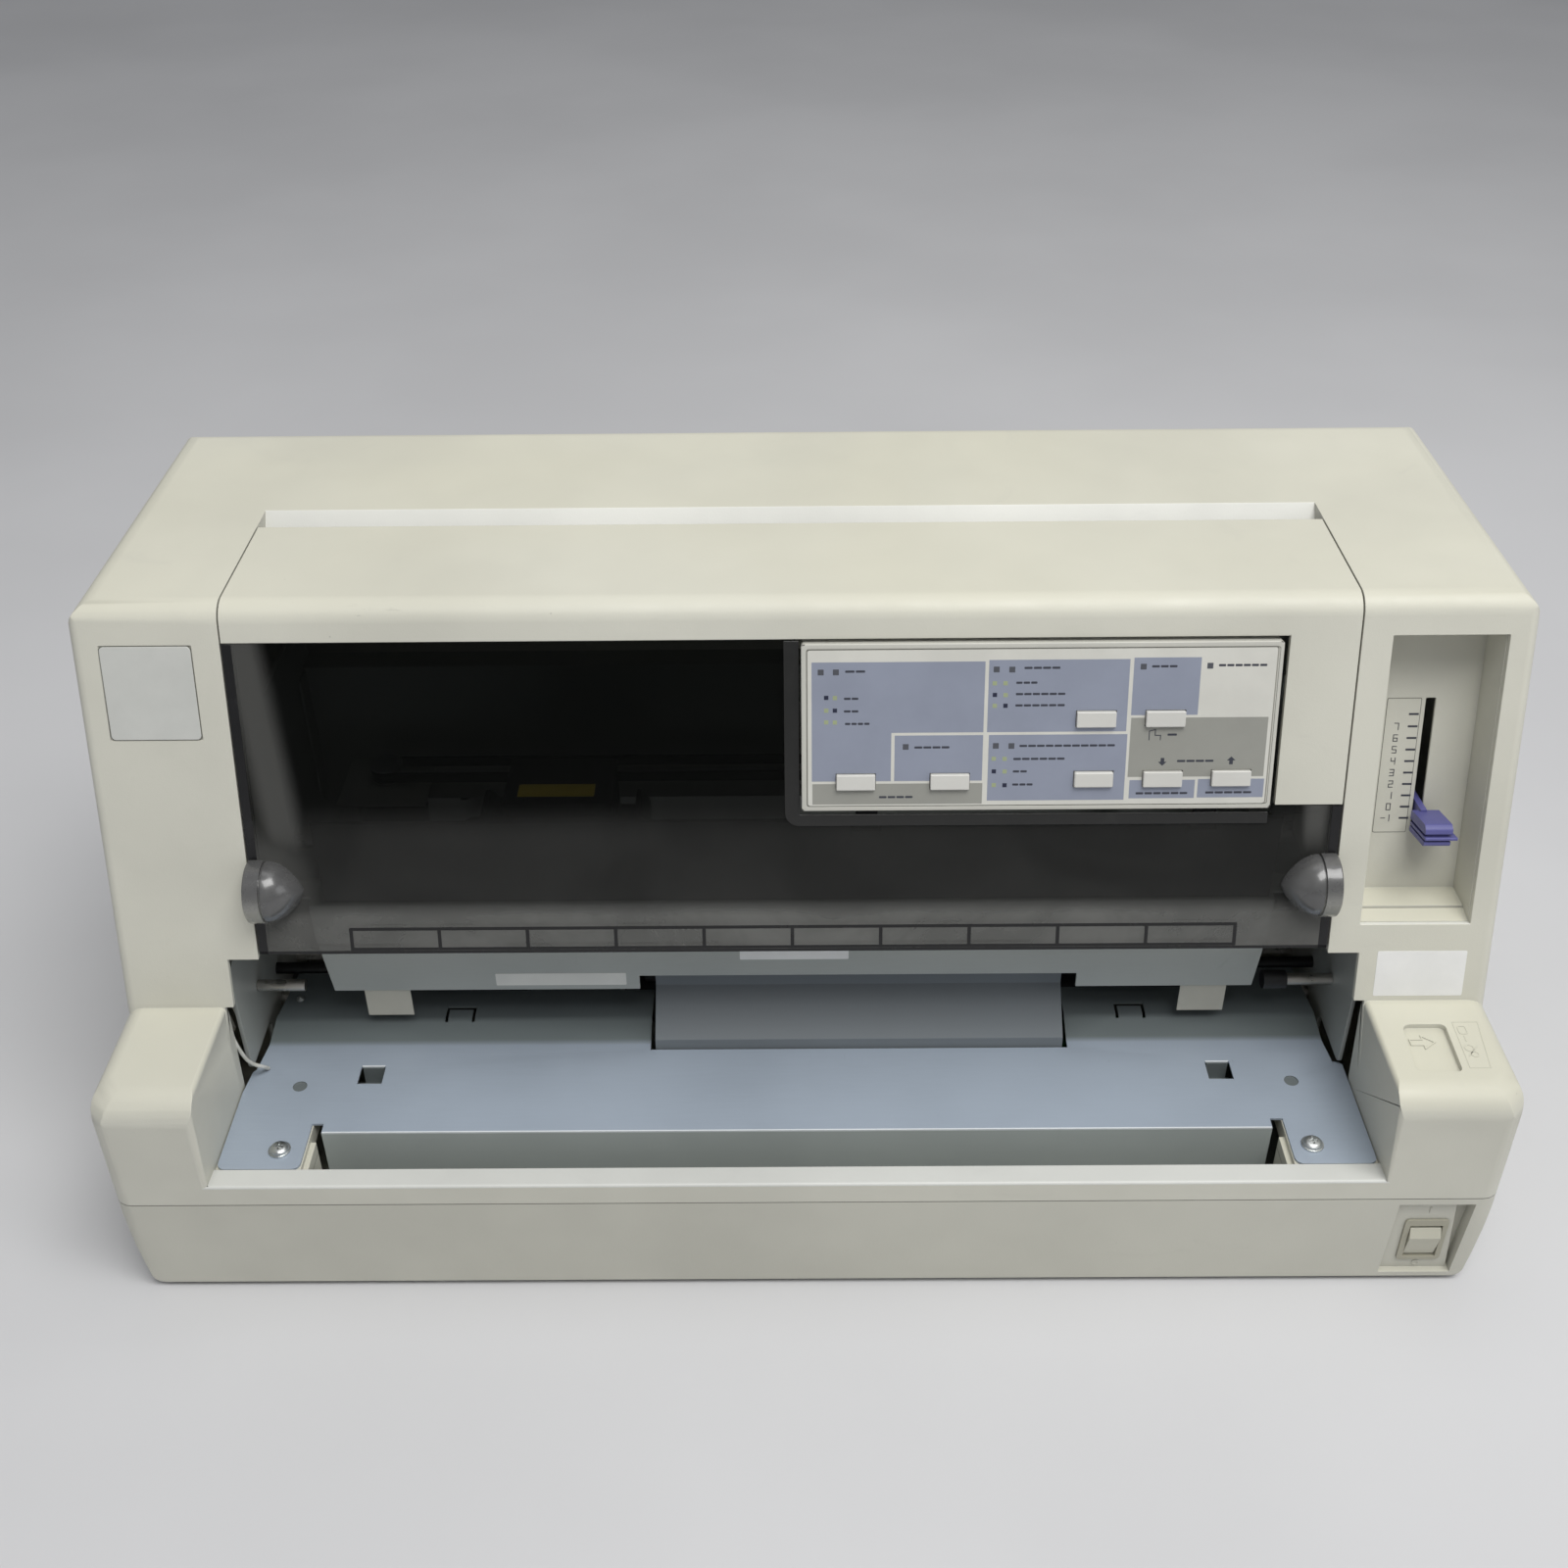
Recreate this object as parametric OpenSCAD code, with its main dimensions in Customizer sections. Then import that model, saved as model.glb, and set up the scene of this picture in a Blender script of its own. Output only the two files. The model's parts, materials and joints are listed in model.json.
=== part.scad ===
// Wide-carriage dot matrix printer with a hinged cover, front paper table and rear tractor.
// Case coordinates: X across (0 = middle), Y back from the front of the ears, Z up from the case bottom.

/* [Case] */
// Width over the upper case
body_w = 639; // [636:1:644]
// Depth from the ears to the rear wall
body_d = 350; // [350:1:356]
// Height of the roof over the case bottom
body_h = 305; // [304:1:308]
// Height of the rubber feet under the case
foot_h = 3; // [2:0.5:6]
// Wall thickness of the case mouldings
wall = 3; // [2.5:0.1:3.2]
// Height of the seam between the lower and the upper case
seam_h = 53.5; // [52:0.5:54]
// Radius of the roof's front edge
bull_r = 11; // [9:0.5:12]

/* [Cover] */
// Thickness of the cover and the window
cover_t = 3; // [2.5:0.1:3]
// Gap between the cover and the case
cover_gap = 0.7; // [0.6:0.1:1]

/* [Control panel] */
// Number of push buttons
button_n = 7; // [7:1:7]
// Button width
button_w = 17.3; // [16:0.5:19]
// Button height along the panel
button_h = 7.2; // [7:0.5:8.5]

/* [Paper path] */
// Radius of the platen roller
platen_r = 14; // [13.5:0.1:14.2]
// Radius of the feed rollers
feed_r = 12; // [11.5:0.1:12.2]
// Radius of the pinch rollers
pinch_r = 8; // [7.5:0.1:8.2]
// Diameter of the carriage shaft
rod_d = 12; // [11:0.5:13]

/* [Clearances] */
// Radial clearance of shafts in their bushes
fit = 0.05; // [0.03:0.01:0.09]

/* [Hidden] */
$fn = 48;

lean = 14.5;                     // lean of the front face from the vertical
tl = tan(lean);
hw = body_w / 2;
face_y0 = 64.5; face_z0 = 117;   // foot of the front face, on top of the ears
col_l = -253.5; col_r = 242.5;   // inner edges of the two columns
bay_l = -272; bay_r = 262;       // inner walls of the ears
draft_l = 1.8; draft_r = 3;       // how far those walls recede towards the seam
frame_l = -273; frame_r = 261;   // outer faces of the side frames (2 mm thick)
slot_y = 188.5; top_y = 205;     // cover rear edge and roof edge behind the paper exit
hinge_y = 182; hinge_z = 297;
table_z = 64; path_z = 70;
platen_y = 170; platen_z = 72 - platen_r;
ffeed_y = 136; rfeed_y = 206; feed_z = 71 - feed_r;
pinch_z = 71.4 + pinch_r;
rod_y = 205; rod_z = 112;
belt_y = 246; belt_z = 125; pul_r = 7;
pul_lx = -228; pul_rx = 216;
car_x = -121;                    // carriage centre at rest
tract_y = 302; tract_z = 88; tbar_y = 322; tbar_z = 100;
wheel_r = 14;
lev_y = 228; lev_z = 182.5; lev_x = 285;
gx = -283;                       // middle plane of the gear train
gm = 1;                          // gear module

// Smallest helpers
function unit(v) = v / norm(v);
function face_y(z) = face_y0 + tl * (z - face_z0);
// Rounded polygon: each point is [x, y, radius]
function rp(p, n = 6) = [for (i = [0:len(p) - 1])
  let (a = p[(i + len(p) - 1) % len(p)], b = p[i], c = p[(i + 1) % len(p)], r = b[2])
  each (r <= 0 ? [[b[0], b[1]]] :
    let (B = [b[0], b[1]], va = unit([a[0], a[1]] - B), vc = unit([c[0], c[1]] - B),
         h = acos(va * vc) / 2, cen = B + unit(va + vc) * (r / sin(h)),
         p1 = B + va * (r / tan(h)) - cen, p2 = B + vc * (r / tan(h)) - cen,
         a1 = atan2(p1[1], p1[0]), d0 = atan2(p2[1], p2[0]) - a1,
         d = d0 > 180 ? d0 - 360 : d0 < -180 ? d0 + 360 : d0)
    [for (k = [0:n]) cen + r * [cos(a1 + d * k / n), sin(a1 + d * k / n)]])];

module place() translate([0, -body_d / 2, foot_h]) children();
// Prism along X from a YZ outline
module px(x0, x1) translate([x0, 0, 0]) rotate([90, 0, 90]) linear_extrude(x1 - x0) children();
// Prism along Y from an XZ outline
module py(y0, y1) translate([0, y1, 0]) rotate([90, 0, 0]) linear_extrude(y1 - y0) children();
// Prism along Z
module pz(z0, z1) translate([0, 0, z0]) linear_extrude(z1 - z0) children();
module bx(x0, x1, y0, y1, z0, z1) translate([x0, y0, z0]) cube([x1 - x0, y1 - y0, z1 - z0]);
// Cylinder along X
module cx(r, x0, x1, y, z) translate([x0, y, z]) rotate([0, 90, 0]) cylinder(r = r, h = x1 - x0);
// Local frame of the leaning front face: x, s up the slope, d outward
module on_face() translate([0, face_y0, face_z0]) rotate([90 - lean, 0, 0]) children();
module fb(x0, x1, s0, s1, d0, d1) translate([x0, s0, d0]) cube([x1 - x0, s1 - s0, d1 - d0]);
module rrect(x0, x1, y0, y1, r, n = 5) polygon(rp([[x0, y0, r], [x1, y0, r], [x1, y1, r], [x0, y1, r]], n));

// ---------------------------------------------------------------- lower case
module lower_outer(t) intersection() {
  py(-1, body_d + 1) polygon(rp([[-hw + 8.5 + t, t, 6 - t], [hw - 8.5 - t, t, 6 - t], [hw - t, seam_h, 0], [-hw + t, seam_h, 0]], 5));
  pz(-1, 60) rrect(-hw + t, hw - t, t, body_d - t, 9 - t);
}
module lower_case() color([0.72, 0.71, 0.65]) place() {
  difference() {
    union() {
      difference() { lower_outer(0); lower_outer(wall); }
      // box around the switch recess
      intersection() { lower_outer(0); bx(269, 311.5, 0, 10, 2.5, 51.5); }
      // screw towers under the front table
      for (x = [-246, 236.5]) translate([x, 24, 2]) cylinder(r = 6, h = 50);
      // towers that carry the base frame
      for (x = [-230, 220], y = [60, 300]) translate([x, y, 2]) cylinder(r = 5, h = 4);
    }
    // recess for the power switch with a sloping right wall
    py(-1, 3) polygon([[271.6, 3.2], [305.2, 3.2], [308.3, 49.5], [273.4, 49.5]]);
    py(-1, 7) polygon([[304.2, 3.2], [305.2, 3.2], [308.3, 49.5], [301, 49.5]]);
    bx(280.3, 298.7, 2, 20, 10.4, 35.6);
    // screw holes in the towers
    for (x = [-246, 236.5]) translate([x, 24, 20]) cylinder(r = 1.6, h = 40);
    // rear cut-outs for the mains inlet and the interface socket
    bx(-274, -246, body_d - 6, body_d + 1, 13, 34);
    bx(118, 190, body_d - 6, body_d + 1, 15, 33);
    // cooling slots in the left wall and in the rear wall
    for (i = [0:13]) bx(-hw - 2, -hw + 16, 120 + i * 9, 124 + i * 9, 16, 40);
    for (i = [0:15]) bx(-180 + i * 9, -176 + i * 9, body_d - 5, body_d + 1, 14, 38);
    // recessed seats for the rubber feet
    for (x = [-270, 270], y = [34, 316]) translate([x, y, -1]) cylinder(r = 11, h = 2);
  }
}

// ---------------------------------------------------------------- upper case
function side_prof(t) = rp([[face_y(seam_h) + t / cos(lean), seam_h, 0], [face_y(body_h - t) + t / cos(lean), body_h - t, bull_r - t],
  [298 - t * 0.8, body_h - t, 14 - t], [343 - t, 140, 30], [body_d - t, seam_h, 0]], 8);
module col_solid(t) intersection() {
  px(-hw + t, hw - t) polygon(side_prof(t));
  py(0, body_d) polygon(rp([[-hw + t, seam_h, 0], [-hw + t, body_h - t, 12 - t], [hw - t, body_h - t, 12 - t], [hw - t, seam_h, 0]], 6));
  translate([0, face_y0, face_z0]) rotate([-lean, 0, 0]) translate([0, t - 0.001, -120])
    linear_extrude(600) polygon(rp([[-hw + t, 0, 5.5 - t], [hw - t, 0, 5.5 - t], [hw - t, 400, 0], [-hw + t, 400, 0]], 5));
  pz(40, 320) rrect(-hw + t, hw - t, t, body_d - t, 12 - t);
}
module ear_solid(x0, x1, t) intersection() {
  px(x0, x1) polygon(rp([[t, seam_h, 0], [t, face_z0 - t, 14 - t], [74, face_z0 - t, 0], [74, seam_h, 0]], 7));
  // the wall that faces the bay is drafted
  py(0, 74) polygon(rp([[x0 < 0 ? x0 : x0 + draft_r, seam_h, 0], [x0, face_z0 - t, x0 < 0 ? 9 - t : 2.5], [x1, face_z0 - t, x0 < 0 ? 2.5 : 9 - t], [x0 < 0 ? x1 - draft_l : x1, seam_h, 0]], 6));
  pz(40, 130) polygon(rp([[x0, t, x0 < 0 ? 9 - t : 4 - t], [x1, t, x0 < 0 ? 4 - t : 9 - t], [x1, 74, 0], [x0, 74, 0]], 6));
  // soft outer corner
  translate([x0 < 0 ? x0 : x1, t, 0]) rotate([0, 0, x0 < 0 ? -45 : 45]) px(-90, 90)
    polygon(rp([[(9 - t) * 0.4142, 40, 0], [(9 - t) * 0.4142, face_z0 - t, 17 - t], [150, face_z0 - t, 0], [150, 40, 0]], 7));
}
module upper_case() color([0.84, 0.83, 0.78]) place() difference() {
  union() {
    difference() {
      col_solid(0);
      difference() {
        col_solid(wall);
        // side walls of the cover opening, kept as cheeks
        for (x = [col_l - wall, col_r]) {
          px(x, x + wall) polygon([[face_y(141), 141], [99, 141], [99, 154], [150, 154], [150, 286], [top_y + wall, 286], [top_y + wall, 310], [face_y(310), 310]]);
        }
        // wall behind the paper exit
        bx(col_l - wall, col_r + wall, top_y - 6, top_y + wall, 284, 310);
      }
      // bay in front of the mechanism
      py(-1, 110) polygon([[bay_l, face_z0], [bay_l - draft_l * 97 / 63.5, 20], [bay_r + draft_r * 97 / 63.5, 20], [bay_r, face_z0]]);
      bx(-268, 257, -1, 110, face_z0 - 1, 141);
    }
    difference() {
      union() { ear_solid(-hw, bay_l, 0); ear_solid(bay_r, hw, 0); }
      ear_solid(-hw + wall, bay_l - wall, wall);
      ear_solid(bay_r + wall, hw - wall, wall);
    }
    // front rim and the shelves under the table's front tabs
    px(bay_l - 5, bay_r + 5) polygon(rp([[0, seam_h, 0], [0, 65.6, 1.2], [12, 64.4, 0.6], [12, seam_h, 0]], 5));
    for (s = [[bay_l - 2.2, -234], [226, bay_r + 3.4]]) bx(s[0], s[1], 13, 62, seam_h, table_z - 1.2);
    // thicker top under the arrow recess
    bx(270.5, 298, 14, 52, 110.5, 115);
    // stepped end faces of the front slot
    for (s = [[-238, -231.5], [223.5, 230]]) bx(s[0], s[1], 11.5, 33, 36, 60);
  }
  // cover opening: through the face and the roof
  px(col_l, col_r) polygon([[0, 141], [top_y - 6, 141], [top_y - 6, body_h - 8], [top_y, body_h], [top_y, 320], [0, 320]]);
  // opening above the lever insert
  on_face() fb(256, 306.5, 39.3, 177, -8, 4);
  // seat of the badge plate
  on_face() fb(-306.5, -266, 133, 176.4, -0.6, 3);
  // arrow recess in the right ear
  pz(114.2, 130) polygon(rp([[273, 18, 2], [293.6, 18, 2], [294.6, 48.5, 2.5], [275, 48.5, 4]], 4));
  // seats for the hinge pins
  for (x = [col_l - wall - 1, col_r - 1]) cx(2.5 + fit, x, x + wall + 2, hinge_y, hinge_z);
  // rear mouth for continuous paper
  bx(-236, 226, 300, body_d + 1, 66, 132);
  // open gaps between the ear walls and the mechanism
  for (s = [[bay_l - 4.9, bay_l + 1], [bay_r - 1, bay_r + 6]]) bx(s[0], s[1], 68, 110, seam_h + 1, face_z0 - 3.1);
  // screw holes of the table tabs
  for (x = [-246, 236.5]) translate([x, 24, 40]) cylinder(r = 2.2, h = 30);
}

// ---------------------------------------------------------------- cover
module cover_side(t) polygon(concat(
  rp([[face_y(288.6) + (3 - t) * 0, 288.6, 0], [face_y(body_h), body_h, bull_r], [slot_y, body_h, 1.5], [slot_y, body_h - cover_t, 0],
      [face_y(body_h) + 9, body_h - cover_t, 8], [face_y(288.6) + cover_t / cos(lean), 288.6, 0]], 8)));
module printer_cover() color([0.84, 0.83, 0.78]) place() {
  difference() {
    union() {
      px(col_l + cover_gap, col_r - cover_gap) cover_side(0);
      // pale strip on the right of the control panel
      on_face() fb(211.5, col_r - cover_gap, 98.7, 178.5, -cover_t, 0);
      // inner side flanges
      for (x = [col_l + cover_gap, col_r - cover_gap - 2.5])
        px(x, x + 2.5) polygon([[120, 300], [120, 290], [150, 284], [178, 290], [187, 292], [187, 303], [120, 303]]);
      // stiffening ribs under the roof
      for (x = [-170, -60, 50, 160]) bx(x, x + 2, 126, 184, 297, 303);
      // hinge pins
      for (s = [[col_l - wall + 0.2, col_l + cover_gap + 1], [col_r - cover_gap - 1, col_r + wall - 0.2]]) cx(2.5, s[0], s[1], hinge_y, hinge_z);
    }
  }
}
// Bullet-shaped finger grip: collar, slit and a rounded nose
module grip(x, dir) translate([x, 60, 0.4]) intersection() {
  rotate([0, dir * 90, 0]) rotate_extrude($fn = 64) polygon(concat([[0, 0], [14.6, 0], [15, 0.5], [14.9, 7.2], [13.5, 7.2], [13.5, 8.2]],
    [for (k = [0:14]) let (t = sin(90 * k / 14)) [14.6 * pow(1 - t * t, 0.8), 8.2 + 16 * t]]));
  translate([-40, -20, -1]) cube([80, 40, 17]);
}
module cover_window() color([0.2, 0.2, 0.21, 0.6]) place() on_face() {
  wl = col_l + cover_gap; wr = col_r - cover_gap;
  difference() {
    union() {
      fb(wl, -3.2, 90, 177, -cover_t, -0.2);
      fb(wl, wr, 27.5, 93.4, -cover_t, -0.2);
      fb(210.6, wr, 93.3, 98.3, -cover_t, -0.2);
      // frame around the window
      fb(wl, wl + 4, 27.5, 177, -cover_t - 2, -0.2);
      fb(wr - 4, wr, 27.5, 98.3, -cover_t - 2, -0.2);
      fb(wl, wr, 27.5, 30, -cover_t - 3, -0.2);
      fb(-3.2, wr, 90.6, 93.4, -cover_t - 0.8, -0.2);
      fb(-7, -3.2, 90, 177, -cover_t - 4, -0.2);
      // ribs moulded near the lower edge
      fb(-210, 199, 39.4, 40.6, -cover_t - 1.6, -0.2);
      for (i = [0:10]) fb(-210 + i * 40.8, -208.8 + i * 40.8, 30, 40.6, -cover_t - 1.6, -0.2);
      grip(wl, 1);
      grip(wr, -1);
    }
  }
}
module badge_plate() color([0.80, 0.80, 0.79]) place() on_face() translate([0, 0, -0.6]) linear_extrude(1.0) rrect(-306.2, -266.3, 133.3, 176.1, 2);

// ---------------------------------------------------------------- lever insert
module lever_panel() color([0.78, 0.77, 0.72]) place() on_face() difference() {
  fb(254, 308.5, 37.3, 179, -27, -3.05);
  // cavity with two slopes and a groove between them at its lower end
  px(256.2, 306.3) polygon([[39.5, 0], [39.5, -3.05], [42.8, -10.4], [41.4, -10.6], [41.4, -11.5], [43.6, -11.5], [46.8, -25], [176.8, -25], [176.8, 0]]);
  // slot for the lever
  fb(282.8, 287.2, 76, 140.5, -28, -20);
}
module thickness_lever() color([0.36, 0.33, 0.63]) place() {
  a0 = -9.2;                     // arm angle from the face's normal at the lowest position
  difference() {
    union() {
      cx(9, lev_x - 3, lev_x + 3, lev_y, lev_z);
      // flat arm through the slot
      translate([lev_x, lev_y, lev_z]) rotate([-(lean + a0) , 0, 0]) {
        translate([-1.5, -126, -5]) cube([3, 126, 10]);
        // knob: two lobes and a lip with grooves between them
        translate([0, -133.6, 0]) rotate([a0, 0, 0]) {
          px(-4.6, 7.8) polygon(rp([[10, 0.8, 0], [10, 5.2, 1], [-8.4, 5.2, 1.8], [-10.5, 3.4, 1.8], [-10.5, 0.8, 0.5]], 4));
          bx(-3.1, 6.5, -8.8, 9.2, -3, 1);
          px(-4.6, 10) polygon(rp([[9.6, -1.9, 0.3], [9.6, -0.4, 0.3], [-11.3, -0.4, 0.5], [-11.3, -1.9, 0.5]], 3));
          px(-4.6, 7.4) polygon(rp([[10, -5.2, 1], [10, -2.7, 0], [-10.2, -2.7, 0.4], [-10.2, -5.2, 1.7]], 4));
        }
      }
    }
    cx(4 + fit, lev_x - 5, lev_x + 5, lev_y, lev_z);
  }
}

// ---------------------------------------------------------------- control panel
btn = [[23.4, 112], [65.2, 112], [128.8, 140.8], [129, 112.6], [159.2, 140.8], [159.6, 112.6], [190, 112.8]];
p_x0 = -0.7; p_x1 = 208.7; p_s0 = 98; p_s1 = 175.6;
module panel_housing() color([0.85, 0.84, 0.79]) place() {
  on_face() difference() {
    union() {
      translate([0, 0, -13]) linear_extrude(15.2) rrect(p_x0, p_x1, p_s0, p_s1, 1.5);
      // ledge under the panel
      fb(p_x0 + 2, p_x1 - 2, p_s0 - 2.2, p_s0 + 1, -13, -4.6);
    }
    fb(p_x0 + 2, p_x1 - 2, p_s0 + 2, p_s1 - 2, -14, 0);
    // shallow seat of the overlay
    translate([0, 0, 1.7]) linear_extrude(1) rrect(p_x0 + 2.5, p_x1 - 2.5, p_s0 + 2.2, p_s1 - 2.5, 1);
    for (b = btn) fb(b[0] - button_w / 2 - 0.3, b[0] + button_w / 2 + 0.3, b[1] - button_h / 2 - 0.3, b[1] + button_h / 2 + 0.3, -2, 4);
  }
  // two legs that stand on the inner guard
  for (x = [24, 178]) bx(x, x + 10, 97.5, 100.5, 194, 211);
}
module panel_overlay() color([0.56, 0.59, 0.67]) place() on_face() difference() {
  translate([0, 0, 1.7]) linear_extrude(0.5) rrect(p_x0 + 2.8, p_x1 - 2.8, p_s0 + 2.5, p_s1 - 2.8, 1);
  for (b = btn) fb(b[0] - button_w / 2 - 0.3, b[0] + button_w / 2 + 0.3, b[1] - button_h / 2 - 0.3, b[1] + button_h / 2 + 0.3, -2, 4);
}
module panel_board() color([0.10, 0.30, 0.16]) place() on_face() {
  fb(p_x0 + 2, p_x1 - 2, p_s0 + 2, p_s1 - 2, -9.6, -8);
  for (b = btn) fb(b[0] - 3, b[0] + 3, b[1] - 3, b[1] + 3, -8, -5.2);
}
module button(i) color([0.89, 0.89, 0.87]) place() on_face() union() {
  b = btn[i];
  fb(b[0] - button_w / 2, b[0] + button_w / 2, b[1] - button_h / 2, b[1] + button_h / 2, -1.5, 4.2);
  fb(b[0] - button_w / 2 - 1.5, b[0] + button_w / 2 + 1.5, b[1] - button_h / 2 - 1, b[1] + button_h / 2 + 1, -2, -0.35);
  fb(b[0] - 2, b[0] + 2, b[1] - 2, b[1] + 2, -4, -1.5);
}
module button_1() button(0);
module button_2() button(1);
module button_3() button(2);
module button_4() button(3);
module button_5() button(4);
module button_6() button(5);
module button_7() button(6);

// ---------------------------------------------------------------- front bay
module table_prof() polygon([[35, 39], [36.2, 39], [36.2, table_z - 1.2], [95.2, table_z - 1.2], [108.7, path_z - 1.2], [148, path_z - 1.2], [148, path_z], [108.5, path_z], [95, table_z], [35, table_z]]);
module front_table() color([0.56, 0.60, 0.66]) place() difference() {
  union() {
    difference() {
      px(-270, 260) table_prof();
      // flange only across the slot, sides cut back behind the bend
      bx(-271, -229, 30, 40, 38, table_z - 1.2);
      bx(220.5, 261, 30, 40, 38, table_z - 1.2);
      pz(50, 80) polygon([[-271, 78], [-269.6, 80], [-264.5, 125], [-262, 149], [-271, 149]]);
      pz(50, 80) polygon([[261, 76], [259.7, 78], [255.2, 126], [253, 149], [261, 149]]);
    }
    // front tabs with rounded corners
    for (s = [[-273, -234.5], [226.5, 264.1]]) pz(table_z - 1.2, table_z)
      polygon(rp([[s[0], 12.4, 4], [s[1], 12.4, 4], [s[1], 37, 0], [s[0], 37, 0]], 5));
    pz(table_z - 1.2, table_z) polygon([[-273, 36.9], [-269.9, 36.9], [-269.9, 78], [-271.4, 76], [-273, 62]]);
    pz(table_z - 1.2, table_z) polygon([[259.9, 36.9], [264.1, 36.9], [264.1, 77], [262.6, 78.6], [259.9, 79]]);
  }
  // relief notches at the slot's corners
  bx(-234.5, -229, 34, 41, 50, 70);
  bx(220.5, 226.5, 34, 41, 50, 70);
  // fixing, round and square holes
  for (x = [-246, 236.5]) translate([x, 24, 50]) cylinder(r = 2.1, h = 20);
  for (x = [-246, 236.5]) translate([x, 66, table_z - 0.7]) cylinder(r = 3.45, h = 5);
  for (x = [-212.5, 203]) bx(x - 6, x + 6, 67.5, 79.5, 50, 70);
  // opening for the centre guide
  bx(-76.5, 131, 90.2, 130, 50, 80);
  // notches around the feed rollers
  for (i = [0:3]) let (c = -5 + (i - 1.5) * 112) bx(c - 33, c + 33, 128.2, 150, 50, 80);
  // slots around the two latch tongues
  for (x = [-173.5, 164.5]) {
    bx(x - 7.5, x + 7.5, 113.8, 116.2, 60, 80);
    for (e = [-7.5, 6]) bx(x + e, x + e + 1.5, 106, 114, 60, 80);
  }
}
module centre_guide() color([0.53, 0.57, 0.62]) place() px(-74, 128.5)
  polygon([[91, 62.5], [92.2, 62.3], [93, 68.5], [113.5, 86.8], [113.5, 98], [112.3, 98], [112.3, 87.4], [91.6, 69.2]]);
module film_tabs() color([0.80, 0.76, 0.73]) place() for (x = [-205.8, 196.9]) bx(x - 11.3, x + 11.3, 101.6, 102.2, 78, 104);
module front_beam() color([0.60, 0.62, 0.63]) place() difference() {
  union() {
    px(-235.5, 223.5) polygon(rp([[100, 95.5, 0], [101.5, 95.5, 0], [101.5, 148.5, 0], [119, 148.5, 0], [119, 150, 0], [100, 150, 1]], 3));
    // end brackets that reach the side frames
    for (s = [[frame_l + 2, -234], [222, frame_r]]) bx(s[0], s[1], 106, 119, 148.5, 150);
    for (s = [[frame_l + 2, frame_l + 3.5], [frame_r - 1.5, frame_r]]) bx(s[0], s[1], 106, 119, 120, 150);
  }
  // relief over the centre guide and slanted ends
  bx(-80.5, 133.5, 98, 101.6, 90, 104);
  py(99, 103) polygon([[-236, 90], [-230.5, 90], [-235.5, 130], [-236, 130]]);
  py(99, 103) polygon([[224, 90], [219.5, 90], [223.5, 130], [224, 130]]);
}
module inner_guard() color([0.09, 0.09, 0.10]) place() difference() {
  union() {
    px(-228, 221) polygon([[101.6, 150], [104.2, 150], [104.2, 196], [101.6, 196]]);
    px(-228, 221) polygon([[101.6, 150], [105.5, 150], [105.5, 153], [101.6, 153]]);
    // posts that take the legs of the control panel
    for (x = [24, 178]) bx(x - 2, x + 12, 96, 104.2, 191, 194);
  }
}
module stub_shafts() color([0.62, 0.60, 0.57]) place() {
  cx(3, frame_l + 2, -247, 106, 94.2);
  cx(3, 238, frame_r, 106, 94.2);
  // black bush on the right one
  cx(4.8, 226.5, 238.1, 106, 94.2);
}

// ---------------------------------------------------------------- frames
module frame_prof(t) polygon(rp([[76, 66, 3], [76, 128, 3], [104, 136, 4], [104, 152, 2], [122, 160, 3], [122, 205, 4], [270, 205, 10], [318, 120, 8], [335, 120, 4], [335, 6.6, 0], [112, 6.6, 0], [112, 66, 4]], 4));
module frame_holes(x) {
  for (p = [[platen_y, platen_z, 5], [ffeed_y, feed_z, 5], [rfeed_y, feed_z, 5]]) cx(p[2] + fit, x - 1, x + 4, p[0], p[1]);
  for (p = [ffeed_y, rfeed_y]) cx(3 + fit, x - 1, x + 4, p, pinch_z);
  cx(rod_d / 2, x - 1, x + 4, rod_y, rod_z);
  cx(4 + fit, x - 1, x + 4, tract_y, tract_z);
  cx(4, x - 1, x + 4, tbar_y, tbar_z);
}
module side_frame_left() color([0.60, 0.64, 0.63]) place() difference() {
  union() {
    px(frame_l, frame_l + 2) frame_prof(0);
    // folded foot on the base frame
    bx(frame_l, frame_l + 16, 114, 334, 6.6, 8.4);
    // studs for the idler gears
    for (c = [icf, icr]) { cx(2.5, gx - 4, frame_l + 1, c[0], c[1]); cx(4, gx + 3.6, frame_l, c[0], c[1]); }
  }
  frame_holes(frame_l);
  // hole for the paper motor's shaft
  cx(5, frame_l - 1, frame_l + 4, mc[0], mc[1]);
}
module side_frame_right() color([0.60, 0.64, 0.63]) place() {
  difference() {
    union() {
      px(frame_r, frame_r + 2) frame_prof(0);
      bx(frame_r - 14, frame_r + 2, 114, 334, 6.6, 8.4);
    }
    frame_holes(frame_r);
  }
  // pivot stud of the thickness lever
  cx(4, frame_r + 1, lev_x + 4.2, lev_y, lev_z);
  cx(5.5, frame_r + 1, lev_x - 3.5, lev_y, lev_z);
}
module base_frame() color([0.66, 0.67, 0.66]) place() difference() {
  px(-276, 266) polygon([[48, 6], [338, 6], [338, 6.6], [48, 6.6]]);
  for (x = [-254, -192]) bx(x, x + 56, 56, 108, 5, 7);
  for (x = [-100, -10, 80]) bx(x, x + 56, 62, 108, 5, 7);
}
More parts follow.
